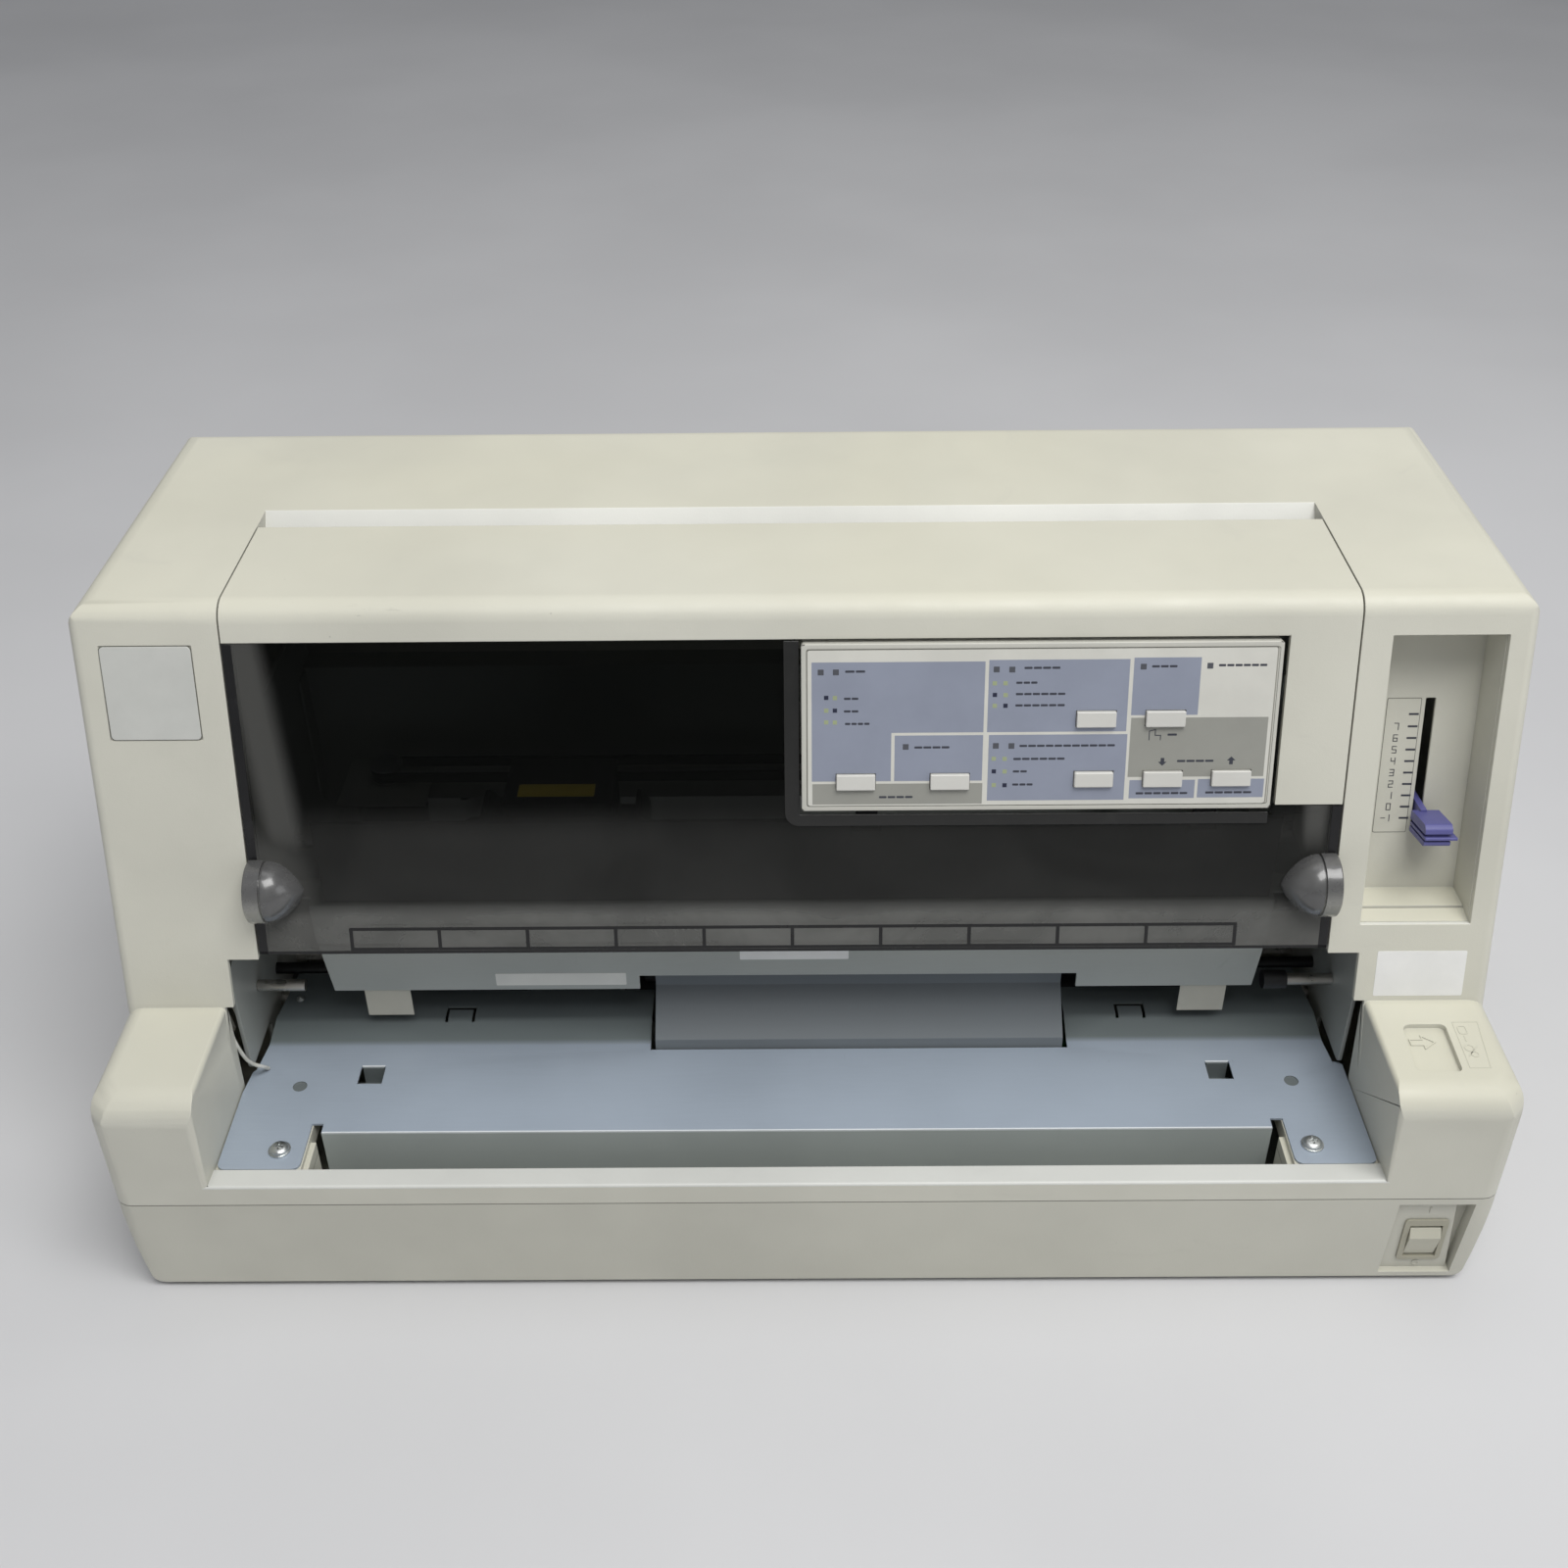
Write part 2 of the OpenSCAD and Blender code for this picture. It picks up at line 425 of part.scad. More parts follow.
module rear_frame() color([0.60, 0.62, 0.63]) place() difference() {
  union() {
    px(frame_l + 2, frame_r) polygon([[268, 92], [269.5, 92], [269.5, 178.5], [284, 178.5], [284, 180], [268, 180]]);
    // folded ears against the side frames
    for (s = [[frame_l + 2, frame_l + 3.5], [frame_r - 1.5, frame_r]]) bx(s[0], s[1], 256, 269, 100, 178);
    // plate that carries the motor and the idler pulley
    bx(pul_lx - 24, pul_lx + 24, 222, 269, 119.2, 121);
    bx(pul_rx - 14, pul_rx + 14, 232, 269, 119.2, 121);
    translate([pul_rx, belt_y, 120]) cylinder(r = 2.5, h = 13.5);
  }
  translate([pul_lx, belt_y, 110]) cylinder(r = 6, h = 20);
}
module rear_table() color([0.60, 0.62, 0.63]) place() difference() {
  union() {
    px(-230, 220) polygon([[222, 66], [226, 68.8], [330, 68.8], [344, 62], [344.6, 63.2], [330.4, 70], [225.6, 70], [221.2, 67]]);
    for (s = [[frame_l + 2, -229], [219, frame_r]]) bx(s[0], s[1], 240, 300, 68.8, 70);
  }
  for (x = [-150, -50, 50, 150]) bx(x - 30, x + 30, 250, 262, 60, 80);
}

// ---------------------------------------------------------------- rollers and gears
function gear_pts(n, m, ph) = let (r = n * m / 2, p = 360 / n) [for (i = [0:n - 1]) let (a = ph + i * p)
  each [for (q = [[-0.30, r - 1.15 * m], [-0.2, r], [-0.1, r + 0.75 * m], [0.1, r + 0.75 * m], [0.2, r], [0.30, r - 1.15 * m]])
    [q[1] * cos(a + q[0] * p), q[1] * sin(a + q[0] * p)]]];
// Gear about an X axis: its outline lies in the YZ plane
module gear(n, ph, c, w, bore = 0) translate([gx - w / 2, c[0], c[1]]) rotate([90, 0, 90]) difference() {
  linear_extrude(w) polygon(gear_pts(n, gm, ph));
  if (bore > 0) translate([0, 0, -1]) cylinder(r = bore, h = w + 2);
}
function ang(a, b) = atan2(b[1] - a[1], b[0] - a[0]);
// Phase of gear b that meshes with gear a
function mesh(pa, na, nb, t) = t + 180 - (0.5 - (t - pa) * na / 360) * 360 / nb;
// Centre at distances ra and rb from two points, above the line between them
function apex(a, b, ra, rb) = let (d = norm(b - a), k = (ra * ra - rb * rb + d * d) / (2 * d), h = sqrt(ra * ra - k * k),
  u = (b - a) / d, w = [-u[1], u[0]], q = w[1] > 0 ? w : -w) a + u * k + q * h;
n_platen = 28; n_feed = 24; n_idler = 12; n_pin = 14;
pc = [platen_y, platen_z];
fc = [ffeed_y, feed_z];
rc = [rfeed_y, feed_z];
icf = apex(pc, fc, (n_platen + n_idler) / 2 * gm, (n_feed + n_idler) / 2 * gm);
icr = apex(pc, rc, (n_platen + n_idler) / 2 * gm, (n_feed + n_idler) / 2 * gm);
mc = pc + (n_platen + n_pin) / 2 * gm * [cos(225), sin(225)];
ph_f = mesh(0, n_platen, n_idler, ang(pc, icf));
ph_r = mesh(0, n_platen, n_idler, ang(pc, icr));
module platen_roller() color([0.10, 0.10, 0.11]) place() {
  cx(platen_r, -226, 216, platen_y, platen_z);
  cx(5, gx - 3, frame_r + 6, platen_y, platen_z);
  gear(n_platen, 0, pc, 6);
}
module roller_row(r, rs, y, z, w, x0, x1) {
  cx(rs, x0, x1, y, z);
  for (i = [0:3]) let (c = -5 + (i - 1.5) * 112) cx(r, c - w / 2, c + w / 2, y, z);
}
module front_feed_roller() color([0.12, 0.12, 0.13]) place() {
  roller_row(feed_r, 5, ffeed_y, feed_z, 62, gx - 3, frame_r + 5);
  gear(n_feed, mesh(ph_f, n_idler, n_feed, ang(icf, fc)), fc, 6);
}
module rear_feed_roller() color([0.12, 0.12, 0.13]) place() {
  roller_row(feed_r, 5, rfeed_y, feed_z, 62, gx - 3, frame_r + 5);
  gear(n_feed, mesh(ph_r, n_idler, n_feed, ang(icr, rc)), rc, 6);
}
module front_pinch_roller() color([0.25, 0.25, 0.26]) place() roller_row(pinch_r, 3, ffeed_y, pinch_z, 40, frame_l - 2, frame_r + 4);
module rear_pinch_roller() color([0.25, 0.25, 0.26]) place() roller_row(pinch_r, 3, rfeed_y, pinch_z, 40, frame_l - 2, frame_r + 4);
module idler_gear_front() color([0.88, 0.87, 0.82]) place() gear(n_idler, ph_f, icf, 6, 2.5 + fit);
module idler_gear_rear() color([0.88, 0.87, 0.82]) place() gear(n_idler, ph_r, icr, 6, 2.5 + fit);
module motor_pinion() color([0.80, 0.68, 0.35]) place() {
  gear(n_pin, mesh(0, n_platen, n_pin, 225), mc, 6);
  cx(2.5, gx - 3, frame_l + 12, mc[0], mc[1]);
}
module paper_motor() color([0.30, 0.30, 0.31]) place() difference() {
  union() {
    cx(14.5, frame_l + 2, frame_l + 34, mc[0], mc[1]);
    cx(10, frame_l + 34, frame_l + 36, mc[0], mc[1]);
  }
  cx(2.5 + fit, frame_l, frame_l + 14, mc[0], mc[1]);
}

// ---------------------------------------------------------------- carriage
module carriage() color([0.15, 0.15, 0.16]) place() translate([car_x, 0, 0]) difference() {
  union() {
    for (x = [-40, 37]) px(x, x + 3) polygon([[107, 150.4], [107, 156], [147, 156], [152, 160], [180, 160], [217, 126], [217, 100], [193, 100], [193, 92], [148, 92], [148, 140], [124, 150.4]]);
    bx(-40, 40, 195, 217, 100, 124);
    bx(-40, 40, 107, 121, 150.4, 156);
    bx(-40, 40, 148, 196, 92, 95);
    // clamp that holds the timing belt
    bx(-8, 8, 216, 237, 122, 134);
  }
  cx(rod_d / 2 + fit, -41, 41, rod_y, rod_z);
  bx(-13, 13, 158, 182, 90, 97);
}
module print_head() color([0.20, 0.20, 0.21]) place() translate([car_x, 0, 0]) {
  bx(-27, 27, 151, 189, 95, 150);
  bx(-9, 9, 163, 177, 73.2, 96);
  // cooling fins and the top plate
  for (i = [0:8]) bx(-27, 27, 152 + i * 4.4, 153.6 + i * 4.4, 149, 169);
  bx(-27, 27, 150, 190, 168.6, 172);
}
module ribbon_cartridge() color([0.07, 0.07, 0.08]) place() translate([car_x, 0, 0]) difference() {
  union() {
    pz(156.05, 167) rrect(-44, 44, 108, 146.9, 4);
    bx(-36, 36, 107.8, 112, 160, 170);
  }
  translate([-28, 130, 160]) cylinder(r = 4.6, h = 10);
}
module ribbon_knob() color([0.30, 0.30, 0.32]) place() translate([car_x - 28, 130, 0]) {
  translate([0, 0, 160.2]) cylinder(r = 4.55, h = 7.2);
  translate([0, 0, 167.4]) cylinder(r = 7, h = 3);
  translate([-6, -1, 170.3]) cube([12, 2, 2.4]);
}
module carriage_shaft() color([0.80, 0.80, 0.80]) place() cx(rod_d / 2, frame_l, frame_r + 2, rod_y, rod_z);
module belt_loop(o) { for (x = [pul_lx, pul_rx]) translate([x, belt_y]) circle(r = pul_r + o); translate([pul_lx, belt_y - pul_r - o]) square([pul_rx - pul_lx, 2 * (pul_r + o)]); }
module timing_belt() color([0.08, 0.08, 0.08]) place() pz(belt_z - 0.7, belt_z + 5.3) difference() { belt_loop(1.5); belt_loop(0.3); }
module pulley(bore) difference() {
  union() {
    cylinder(r = pul_r, h = 9);
    cylinder(r = pul_r + 2, h = 1);
    translate([0, 0, 7.8]) cylinder(r = pul_r + 2, h = 1.2);
  }
  if (bore > 0) translate([0, 0, -1]) cylinder(r = bore, h = 12);
}
module drive_pulley() color([0.75, 0.75, 0.76]) place() translate([pul_lx, belt_y, belt_z - 2.2]) {
  pulley(0);
  translate([0, 0, -16]) cylinder(r = 2.5, h = 17);
}
module idler_pulley() color([0.75, 0.75, 0.76]) place() translate([pul_rx, belt_y, belt_z - 2.2]) pulley(2.5 + fit);
module carriage_motor() color([0.30, 0.30, 0.31]) place() translate([pul_lx, belt_y, 0]) difference() {
  union() {
    translate([0, 0, 89]) cylinder(r = 19, h = 29);
    translate([0, 0, 117]) cylinder(r = 19.6, h = 2.2);
  }
  translate([0, 0, 104]) cylinder(r = 2.5 + fit, h = 20);
}

// ---------------------------------------------------------------- tractor
module tractor_shaft() color([0.78, 0.78, 0.78]) place() {
  cx(4, frame_l - 4, frame_l + 12, tract_y, tract_z);
  cx(4, frame_r - 10, frame_r + 6, tract_y, tract_z);
  bx(frame_l + 11, frame_r - 9, tract_y - 2.8, tract_y + 2.8, tract_z - 2.8, tract_z + 2.8);
}
module tractor_bar() color([0.78, 0.78, 0.78]) place() cx(4, frame_l, frame_r + 2, tbar_y, tbar_z);
module tractor_unit(x) color([0.16, 0.16, 0.17]) place() translate([x, 0, 0]) difference() {
  union() {
    for (s = [-8.5, 4.7]) px(s, s + 3.8) polygon(rp([[282, 78, 6], [282, 104, 8], [300, 114, 10], [333, 114, 5], [333, 90, 5], [318, 84, 3], [316, 76, 4]], 4));
    bx(-8.5, 8.5, 318.5, 332, 92, 112);
    // lock lever
    px(-2, 2) polygon([[320, 111], [330, 111], [334, 124], [331, 126]]);
  }
  cx(4 + fit, -10, 10, tbar_y, tbar_z);
  cx(5.6, -10, 10, tract_y, tract_z);
}
module tractor_unit_left() tractor_unit(-190);
module tractor_unit_right() tractor_unit(180);
module pin_wheel(x) color([0.86, 0.86, 0.83]) place() translate([x, tract_y, tract_z]) difference() {
  union() {
    translate([-3.6, 0, 0]) rotate([0, 90, 0]) cylinder(r = 13.2, h = 7.2);
    for (k = [0:6]) rotate([k * 360 / 7 + 12, 0, 0]) translate([0, 0, 11]) cylinder(r = 1.7, h = 4.2);
  }
  translate([-5, -3, -3]) cube([10, 6, 6]);
}
module pin_wheel_left() pin_wheel(-190);
module pin_wheel_right() pin_wheel(180);

// ---------------------------------------------------------------- electrics
module main_board() color([0.10, 0.30, 0.16]) place() {
  bx(-60, 236, 130, 322, 12, 13.6);
  for (x = [-52, 228], y = [138, 314]) translate([x, y, 6.6]) cylinder(r = 3, h = 5.4);
  for (q = [[-30, 160, 30, 30, 4], [30, 200, 26, 26, 4], [90, 170, 44, 16, 5], [100, 250, 20, 40, 9], [160, 200, 60, 8, 12], [-40, 260, 36, 14, 6]])
    bx(q[0], q[0] + q[2], q[1], q[1] + q[3], 13.6, 13.6 + q[4]);
  for (x = [0, 20, 40]) translate([x, 290, 13.6]) cylinder(r = 6, h = 16);
}
module power_supply() color([0.70, 0.71, 0.70]) place() difference() {
  bx(-225, -85, 190, 322, 6.6, 46);
  bx(-223.5, -86.5, 191.5, 320.5, 8.1, 44.5);
  for (i = [0:9]) bx(-214 + i * 13, -207 + i * 13, 205, 307, 43, 48);
}
module mains_inlet() color([0.08, 0.08, 0.08]) place() difference() {
  union() {
    bx(-273.8, -246.2, 336, body_d - 0.2, 13.2, 33.8);
  }
  bx(-271, -249, 341, body_d + 1, 16, 31);
  for (x = [-265, -260, -255]) bx(x - 1, x + 1, 330, 342, 20, 27);
}
module interface_socket() color([0.20, 0.25, 0.45]) place() difference() {
  bx(118.2, 189.8, 330, body_d - 0.2, 15.2, 32.8);
  bx(121, 187, 341, body_d + 1, 18, 30);
}
sw_y = 9; sw_z = 22.1;
module power_switch() color([0.30, 0.30, 0.29]) place() difference() {
  union() {
    py(2, 3) rrect(279.3, 299.7, 9.4, 36.8, 2);
    bx(280.5, 298.5, 2.4, 25, 10.6, 35.4);
    for (z = [15, 22, 29]) bx(287, 290, 24, 31, z - 1, z + 1);
  }
  difference() {
    bx(282, 297.2, 1, 18, sw_z - 10.5, sw_z + 10.5);
    cx(1.5, 282, 298, sw_y, sw_z);
  }
}
module power_rocker() color([0.72, 0.72, 0.67]) place() difference() {
  translate([0, sw_y, sw_z]) px(282.3, 296.9) polygon(rp([[-8.85, 3.9, 0.6], [-5.8, -9.9, 0.8], [-3.5, -9.9, 0], [3, -5, 0], [3, 5, 0], [-3, 9.4, 0], [-6.8, 8.9, 0.7]], 3));
  cx(1.5 + fit, 281, 298, sw_y, sw_z);
}
module rubber_feet() color([0.08, 0.08, 0.08]) place() for (x = [-270, 270], y = [34, 316]) translate([x, y, -foot_h]) {
  cylinder(r = 10.9, h = foot_h + 1);
}
// pan screw standing on z
module pan_screw(x, y, z, r, l) translate([x, y, z]) difference() {
  union() {
    translate([0, 0, -l]) cylinder(r = 1.6, h = l + 1);
    cylinder(r = r, h = 0.9);
    translate([0, 0, 0.9]) rotate_extrude() polygon([[0, 0], [r * 0.86, 0], [r * 0.82, 1.1], [r * 0.62, 2.0], [0, 2.5]]);
  }
  for (a = [0, 90]) rotate([0, 0, a]) translate([-2.1, -0.45, 2.2]) cube([4.2, 0.9, 3]);
}
module fasteners() color([0.70, 0.70, 0.70]) place() {
  for (x = [-246, 236.5]) pan_screw(x, 24, table_z, 5.2, 22);
  for (x = [frame_l + 9, frame_r - 7], y = [130, 320]) translate([x, y, 8.4]) cylinder(r = 3, h = 2);
}

lower_case();
upper_case();
printer_cover();
cover_window();
badge_plate();
lever_panel();
thickness_lever();
panel_housing();
panel_overlay();
panel_board();
button_1();
button_2();
button_3();
button_4();
button_5();
button_6();
button_7();
front_table();
centre_guide();
film_tabs();
front_beam();
inner_guard();
stub_shafts();
side_frame_left();
side_frame_right();
base_frame();
rear_frame();
rear_table();
platen_roller();
front_feed_roller();
rear_feed_roller();
front_pinch_roller();
rear_pinch_roller();
idler_gear_front();
idler_gear_rear();
motor_pinion();
paper_motor();
carriage();
print_head();
ribbon_cartridge();
ribbon_knob();
carriage_shaft();
timing_belt();
drive_pulley();
idler_pulley();
carriage_motor();
tractor_shaft();
tractor_bar();
tractor_unit_left();
tractor_unit_right();
pin_wheel_left();
pin_wheel_right();
main_board();
power_supply();
mains_inlet();
interface_socket();
power_switch();
power_rocker();
rubber_feet();
fasteners();
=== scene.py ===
import bpy, bmesh, json, math, random
from mathutils import Vector, Matrix


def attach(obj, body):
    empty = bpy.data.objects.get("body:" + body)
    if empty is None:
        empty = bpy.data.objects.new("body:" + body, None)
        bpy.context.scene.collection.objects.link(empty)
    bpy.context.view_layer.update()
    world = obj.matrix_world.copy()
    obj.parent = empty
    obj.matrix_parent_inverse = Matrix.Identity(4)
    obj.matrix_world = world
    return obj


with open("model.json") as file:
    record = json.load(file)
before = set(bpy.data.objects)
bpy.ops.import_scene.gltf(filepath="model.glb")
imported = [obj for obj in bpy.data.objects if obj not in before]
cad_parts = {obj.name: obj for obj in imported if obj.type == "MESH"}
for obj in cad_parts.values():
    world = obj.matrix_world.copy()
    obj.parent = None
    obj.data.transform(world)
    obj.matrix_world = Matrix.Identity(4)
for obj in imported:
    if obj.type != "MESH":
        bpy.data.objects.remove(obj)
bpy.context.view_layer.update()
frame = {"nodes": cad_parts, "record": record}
N = frame["nodes"]
SC = bpy.context.scene
COLL = SC.collection
RND = random.Random(11)

# ------------------------------------------------------------------ places
DEPTH, FOOT = 175.0, 3.0
LEAN = math.radians(14.5)
SL, CL = math.sin(LEAN), math.cos(LEAN)


def P(x, y, z):
    """Case millimetres to metres in the shared frame."""
    return Vector((x / 1000, (y - DEPTH) / 1000, (z + FOOT) / 1000))


def FP(x, s, d):
    """Point on the leaning front face: x, s up the slope, d outward."""
    return P(x, 64.5 + s * SL - d * CL, 117 + s * CL + d * SL)


# ------------------------------------------------------------------ node materials
class Mat:
    def __init__(self, name):
        self.m = bpy.data.materials.new(name)
        self.m.use_nodes = True
        self.t = self.m.node_tree
        self.t.nodes.clear()
        self.out = self.n("ShaderNodeOutputMaterial")
        self.b = self.n("ShaderNodeBsdfPrincipled")
        self.l(self.b.outputs["BSDF"], self.out.inputs["Surface"])
        self.co = self.n("ShaderNodeTexCoord").outputs["Object"]

    def n(self, kind, **kw):
        node = self.t.nodes.new(kind)
        for k, v in kw.items():
            setattr(node, k, v)
        return node

    def l(self, a, b):
        self.t.links.new(a, b)

    def put(self, sock, v):
        if hasattr(v, "links") or hasattr(v, "is_linked"):
            self.l(v, sock)
        else:
            sock.default_value = v

    def set(self, **kw):
        names = dict(color="Base Color", rough="Roughness", metal="Metallic", alpha="Alpha", coat="Coat Weight",
                     coat_rough="Coat Roughness", ior="IOR", spec="Specular IOR Level", aniso="Anisotropic", normal="Normal",
                     sheen="Sheen Weight", trans="Transmission Weight", sss="Subsurface Weight")
        for k, v in kw.items():
            self.put(self.b.inputs[names[k]], v)
        return self

    def vec(self, scale=(1, 1, 1), rot=(0, 0, 0)):
        mp = self.n("ShaderNodeMapping")
        mp.inputs["Scale"].default_value = scale
        mp.inputs["Rotation"].default_value = rot
        self.l(self.co, mp.inputs["Vector"])
        return mp.outputs["Vector"]

    def noise(self, scale, detail=3.0, rough=0.55, vec=None, dist=0.0):
        nd = self.n("ShaderNodeTexNoise")
        nd.inputs["Scale"].default_value = scale
        nd.inputs["Detail"].default_value = detail
        nd.inputs["Roughness"].default_value = rough
        nd.inputs["Distortion"].default_value = dist
        self.l(vec or self.co, nd.inputs["Vector"])
        return nd.outputs["Fac"]

    def voronoi(self, scale, feature="F1", vec=None):
        nd = self.n("ShaderNodeTexVoronoi", feature=feature)
        nd.inputs["Scale"].default_value = scale
        self.l(vec or self.co, nd.inputs["Vector"])
        return nd.outputs["Distance"]

    def ramp(self, fac, lo, hi, a=0.0, b=1.0):
        nd = self.n("ShaderNodeMapRange", clamp=True, interpolation_type="SMOOTHSTEP")
        self.put(nd.inputs["Value"], fac)
        nd.inputs["From Min"].default_value = lo
        nd.inputs["From Max"].default_value = hi
        nd.inputs["To Min"].default_value = a
        nd.inputs["To Max"].default_value = b
        return nd.outputs["Result"]

    def math(self, op, a, b=0.0):
        nd = self.n("ShaderNodeMath", operation=op)
        self.put(nd.inputs[0], a)
        self.put(nd.inputs[1], b)
        return nd.outputs[0]

    def mix(self, fac, a, b, blend="MIX"):
        nd = self.n("ShaderNodeMix", data_type="RGBA", blend_type=blend)
        self.put(nd.inputs["Factor"], fac)
        for sock, v in ((nd.inputs["A"], a), (nd.inputs["B"], b)):
            pass
        ca = [s for s in nd.inputs if s.type == "RGBA"]
        for sock, v in zip(ca, (a, b)):
            self.put(sock, (*v, 1) if isinstance(v, tuple) and len(v) == 3 else v)
        return [o for o in nd.outputs if o.type == "RGBA"][0]

    def bump(self, height, strength, distance, normal=None):
        nd = self.n("ShaderNodeBump")
        nd.inputs["Strength"].default_value = strength
        nd.inputs["Distance"].default_value = distance
        self.l(height, nd.inputs["Height"])
        if normal is not None:
            self.l(normal, nd.inputs["Normal"])
        return nd.outputs["Normal"]

    def xyz(self):
        nd = self.n("ShaderNodeSeparateXYZ")
        self.l(self.co, nd.inputs[0])
        return nd.outputs

    def up(self):
        g = self.n("ShaderNodeNewGeometry")
        nd = self.n("ShaderNodeSeparateXYZ")
        self.l(g.outputs["Normal"], nd.inputs[0])
        return nd.outputs[2]

    def near(self, x, y, z, rx, ry, rz):
        """1 at a point in case millimetres, 0 outside the ellipsoid with those radii."""
        mp = self.n("ShaderNodeMapping")
        c = P(x, y, z)
        mp.inputs["Location"].default_value = (-c.x / (rx / 1000), -c.y / (ry / 1000), -c.z / (rz / 1000))
        mp.inputs["Scale"].default_value = (1000 / rx, 1000 / ry, 1000 / rz)
        self.l(self.co, mp.inputs["Vector"])
        ln = self.n("ShaderNodeVectorMath", operation="LENGTH")
        self.l(mp.outputs["Vector"], ln.inputs[0])
        return self.ramp(ln.outputs["Value"], 0.35, 1.0, 1.0, 0.0)

    def slope(self):
        """Millimetres up the leaning front face."""
        o = self.xyz()
        a = self.math("MULTIPLY", self.math("ADD", o[1], (DEPTH - 64.5) / 1000), SL * 1000)
        b = self.math("MULTIPLY", self.math("ADD", o[2], -(FOOT + 117) / 1000), CL * 1000)
        return self.math("ADD", a, b)

    # ambient occlusion mask for painted shade in creases and recesses
    def crevice(self, dist, lo=0.35, hi=0.95):
        nd = self.n("ShaderNodeAmbientOcclusion", samples=6)
        nd.inputs["Distance"].default_value = dist
        return self.ramp(nd.outputs["AO"], lo, hi)


def lin(r, g, b):
    f = lambda c: c / 12.92 if c <= 0.04045 else ((c + 0.055) / 1.055) ** 2.4
    return (f(r / 255), f(g / 255), f(b / 255))


def plastic(name, rgb, rough=0.5, warm=None, grain=0.22, crevice_shade=0.10, age=0.0, wear=True, marks=(), seam=None):
    m = Mat(name)
    base = lin(*rgb)
    dark = tuple(c * 0.90 for c in base)
    lite = tuple(min(1, c * 1.04) for c in base)
    blot = m.noise(7.0, 4, 0.55)
    col = m.mix(m.ramp(blot, 0.3, 0.7), dark, lite)
    if age:
        yel = tuple(c * k for c, k in zip(base, warm or (1.03, 1.0, 0.86)))
        z = m.up()
        big = m.noise(3.1, 3, 0.5, dist=0.6)
        k = m.math("MULTIPLY", m.ramp(z, 0.15, 0.95, 0.25, 1.0), m.ramp(big, 0.28, 0.75, 0.45, 1.0))
        col = m.mix(m.math("MULTIPLY", k, age), col, yel)
    if wear:
        # faint smears and sparse dark scuffs
        smear = m.noise(26.0, 5, 0.62, vec=m.vec((1.0, 1.0, 2.2)), dist=1.2)
        col = m.mix(m.ramp(smear, 0.60, 0.82, 0.0, 0.22), col, tuple(c * 0.80 for c in base))
        speck = m.voronoi(70.0)
        gate = m.noise(9.0, 2, 0.5)
        k = m.math("MULTIPLY", m.ramp(speck, 0.0, 0.045, 1.0, 0.0), m.ramp(gate, 0.56, 0.62, 0.0, 0.55))
        col = m.mix(k, col, tuple(c * 0.45 for c in base))
    for mk in marks:
        # a scuff: a spot broken up by streaky noise
        st = m.noise(mk[7], 4, 0.7, vec=m.vec(mk[8]), dist=1.5)
        k = m.math("MULTIPLY", m.near(*mk[:6]), m.ramp(st, mk[9], mk[9] + 0.1, 0.0, mk[6]))
        col = m.mix(k, col, tuple(c * 0.32 for c in base))
    if seam is not None:
        # parting line between the two halves of the case
        dz = m.math("ABSOLUTE", m.math("SUBTRACT", m.xyz()[2], (seam + FOOT) / 1000))
        col = m.mix(m.ramp(dz, 0.00018, 0.00042, 0.78, 0.0), col, tuple(c * 0.18 for c in base))
    # painted shade: colour darkened towards 0.55 of the base where ambient occlusion within 4 mm finds creases and
    # recesses
    ao = m.crevice(0.004)
    col = m.mix(m.math("MULTIPLY", m.math("SUBTRACT", 1.0, ao), crevice_shade * 4), col, tuple(c * 0.55 for c in base))
    fine = m.noise(1500.0, 2, 0.6)
    mid = m.noise(420.0, 2, 0.5)
    n1 = m.bump(fine, grain, 0.00022)
    n2 = m.bump(mid, grain * 0.5, 0.0003, n1)
    sm = m.noise(38.0, 4, 0.6)
    m.set(color=col, rough=m.ramp(sm, 0.25, 0.75, rough - 0.06, rough + 0.09), normal=n2, ior=1.5)
    return m.m


def painted(name, rgb, rough=0.42, metal=0.15, streak=0.5, rear=False):
    m = Mat(name)
    base = lin(*rgb)
    brushed = m.noise(60.0, 4, 0.6, vec=m.vec((1.0, 14.0, 14.0)))
    blot = m.noise(9.0, 3, 0.5)
    col = m.mix(m.ramp(blot, 0.3, 0.7), tuple(c * 0.93 for c in base), tuple(min(1, c * 1.05) for c in base))
    col = m.mix(m.ramp(brushed, 0.35, 0.75, 0.0, 0.30 * streak), col, tuple(min(1, c * 1.16) for c in base))
    scr = m.noise(55.0, 5, 0.7, vec=m.vec((1.0, 0.35, 0.35), (0, 0, 0.7)), dist=2.5)
    col = m.mix(m.ramp(scr, 0.66, 0.78, 0.0, 0.35), col, tuple(c * 0.62 for c in base))
    if rear:
        # painted shade and painted dark reflection behind the bend: a darker, greyer colour where the beam and
        # cover hang over the table
        y = m.xyz()[1]
        col = m.mix(m.ramp(y, (93.5 - DEPTH) / 1000, (97.5 - DEPTH) / 1000, 0.0, 1.0), col, lin(124, 133, 134))
        col = m.mix(m.ramp(y, (105.5 - DEPTH) / 1000, (109.0 - DEPTH) / 1000, 0.0, 1.0), col, lin(108, 116, 118))
    dust = m.noise(700.0, 2, 0.5)
    n1 = m.bump(dust, 0.10, 0.0001)
    m.set(color=col, rough=m.ramp(blot, 0.2, 0.8, rough - 0.07, rough + 0.1), metal=metal, normal=n1)
    return m.m


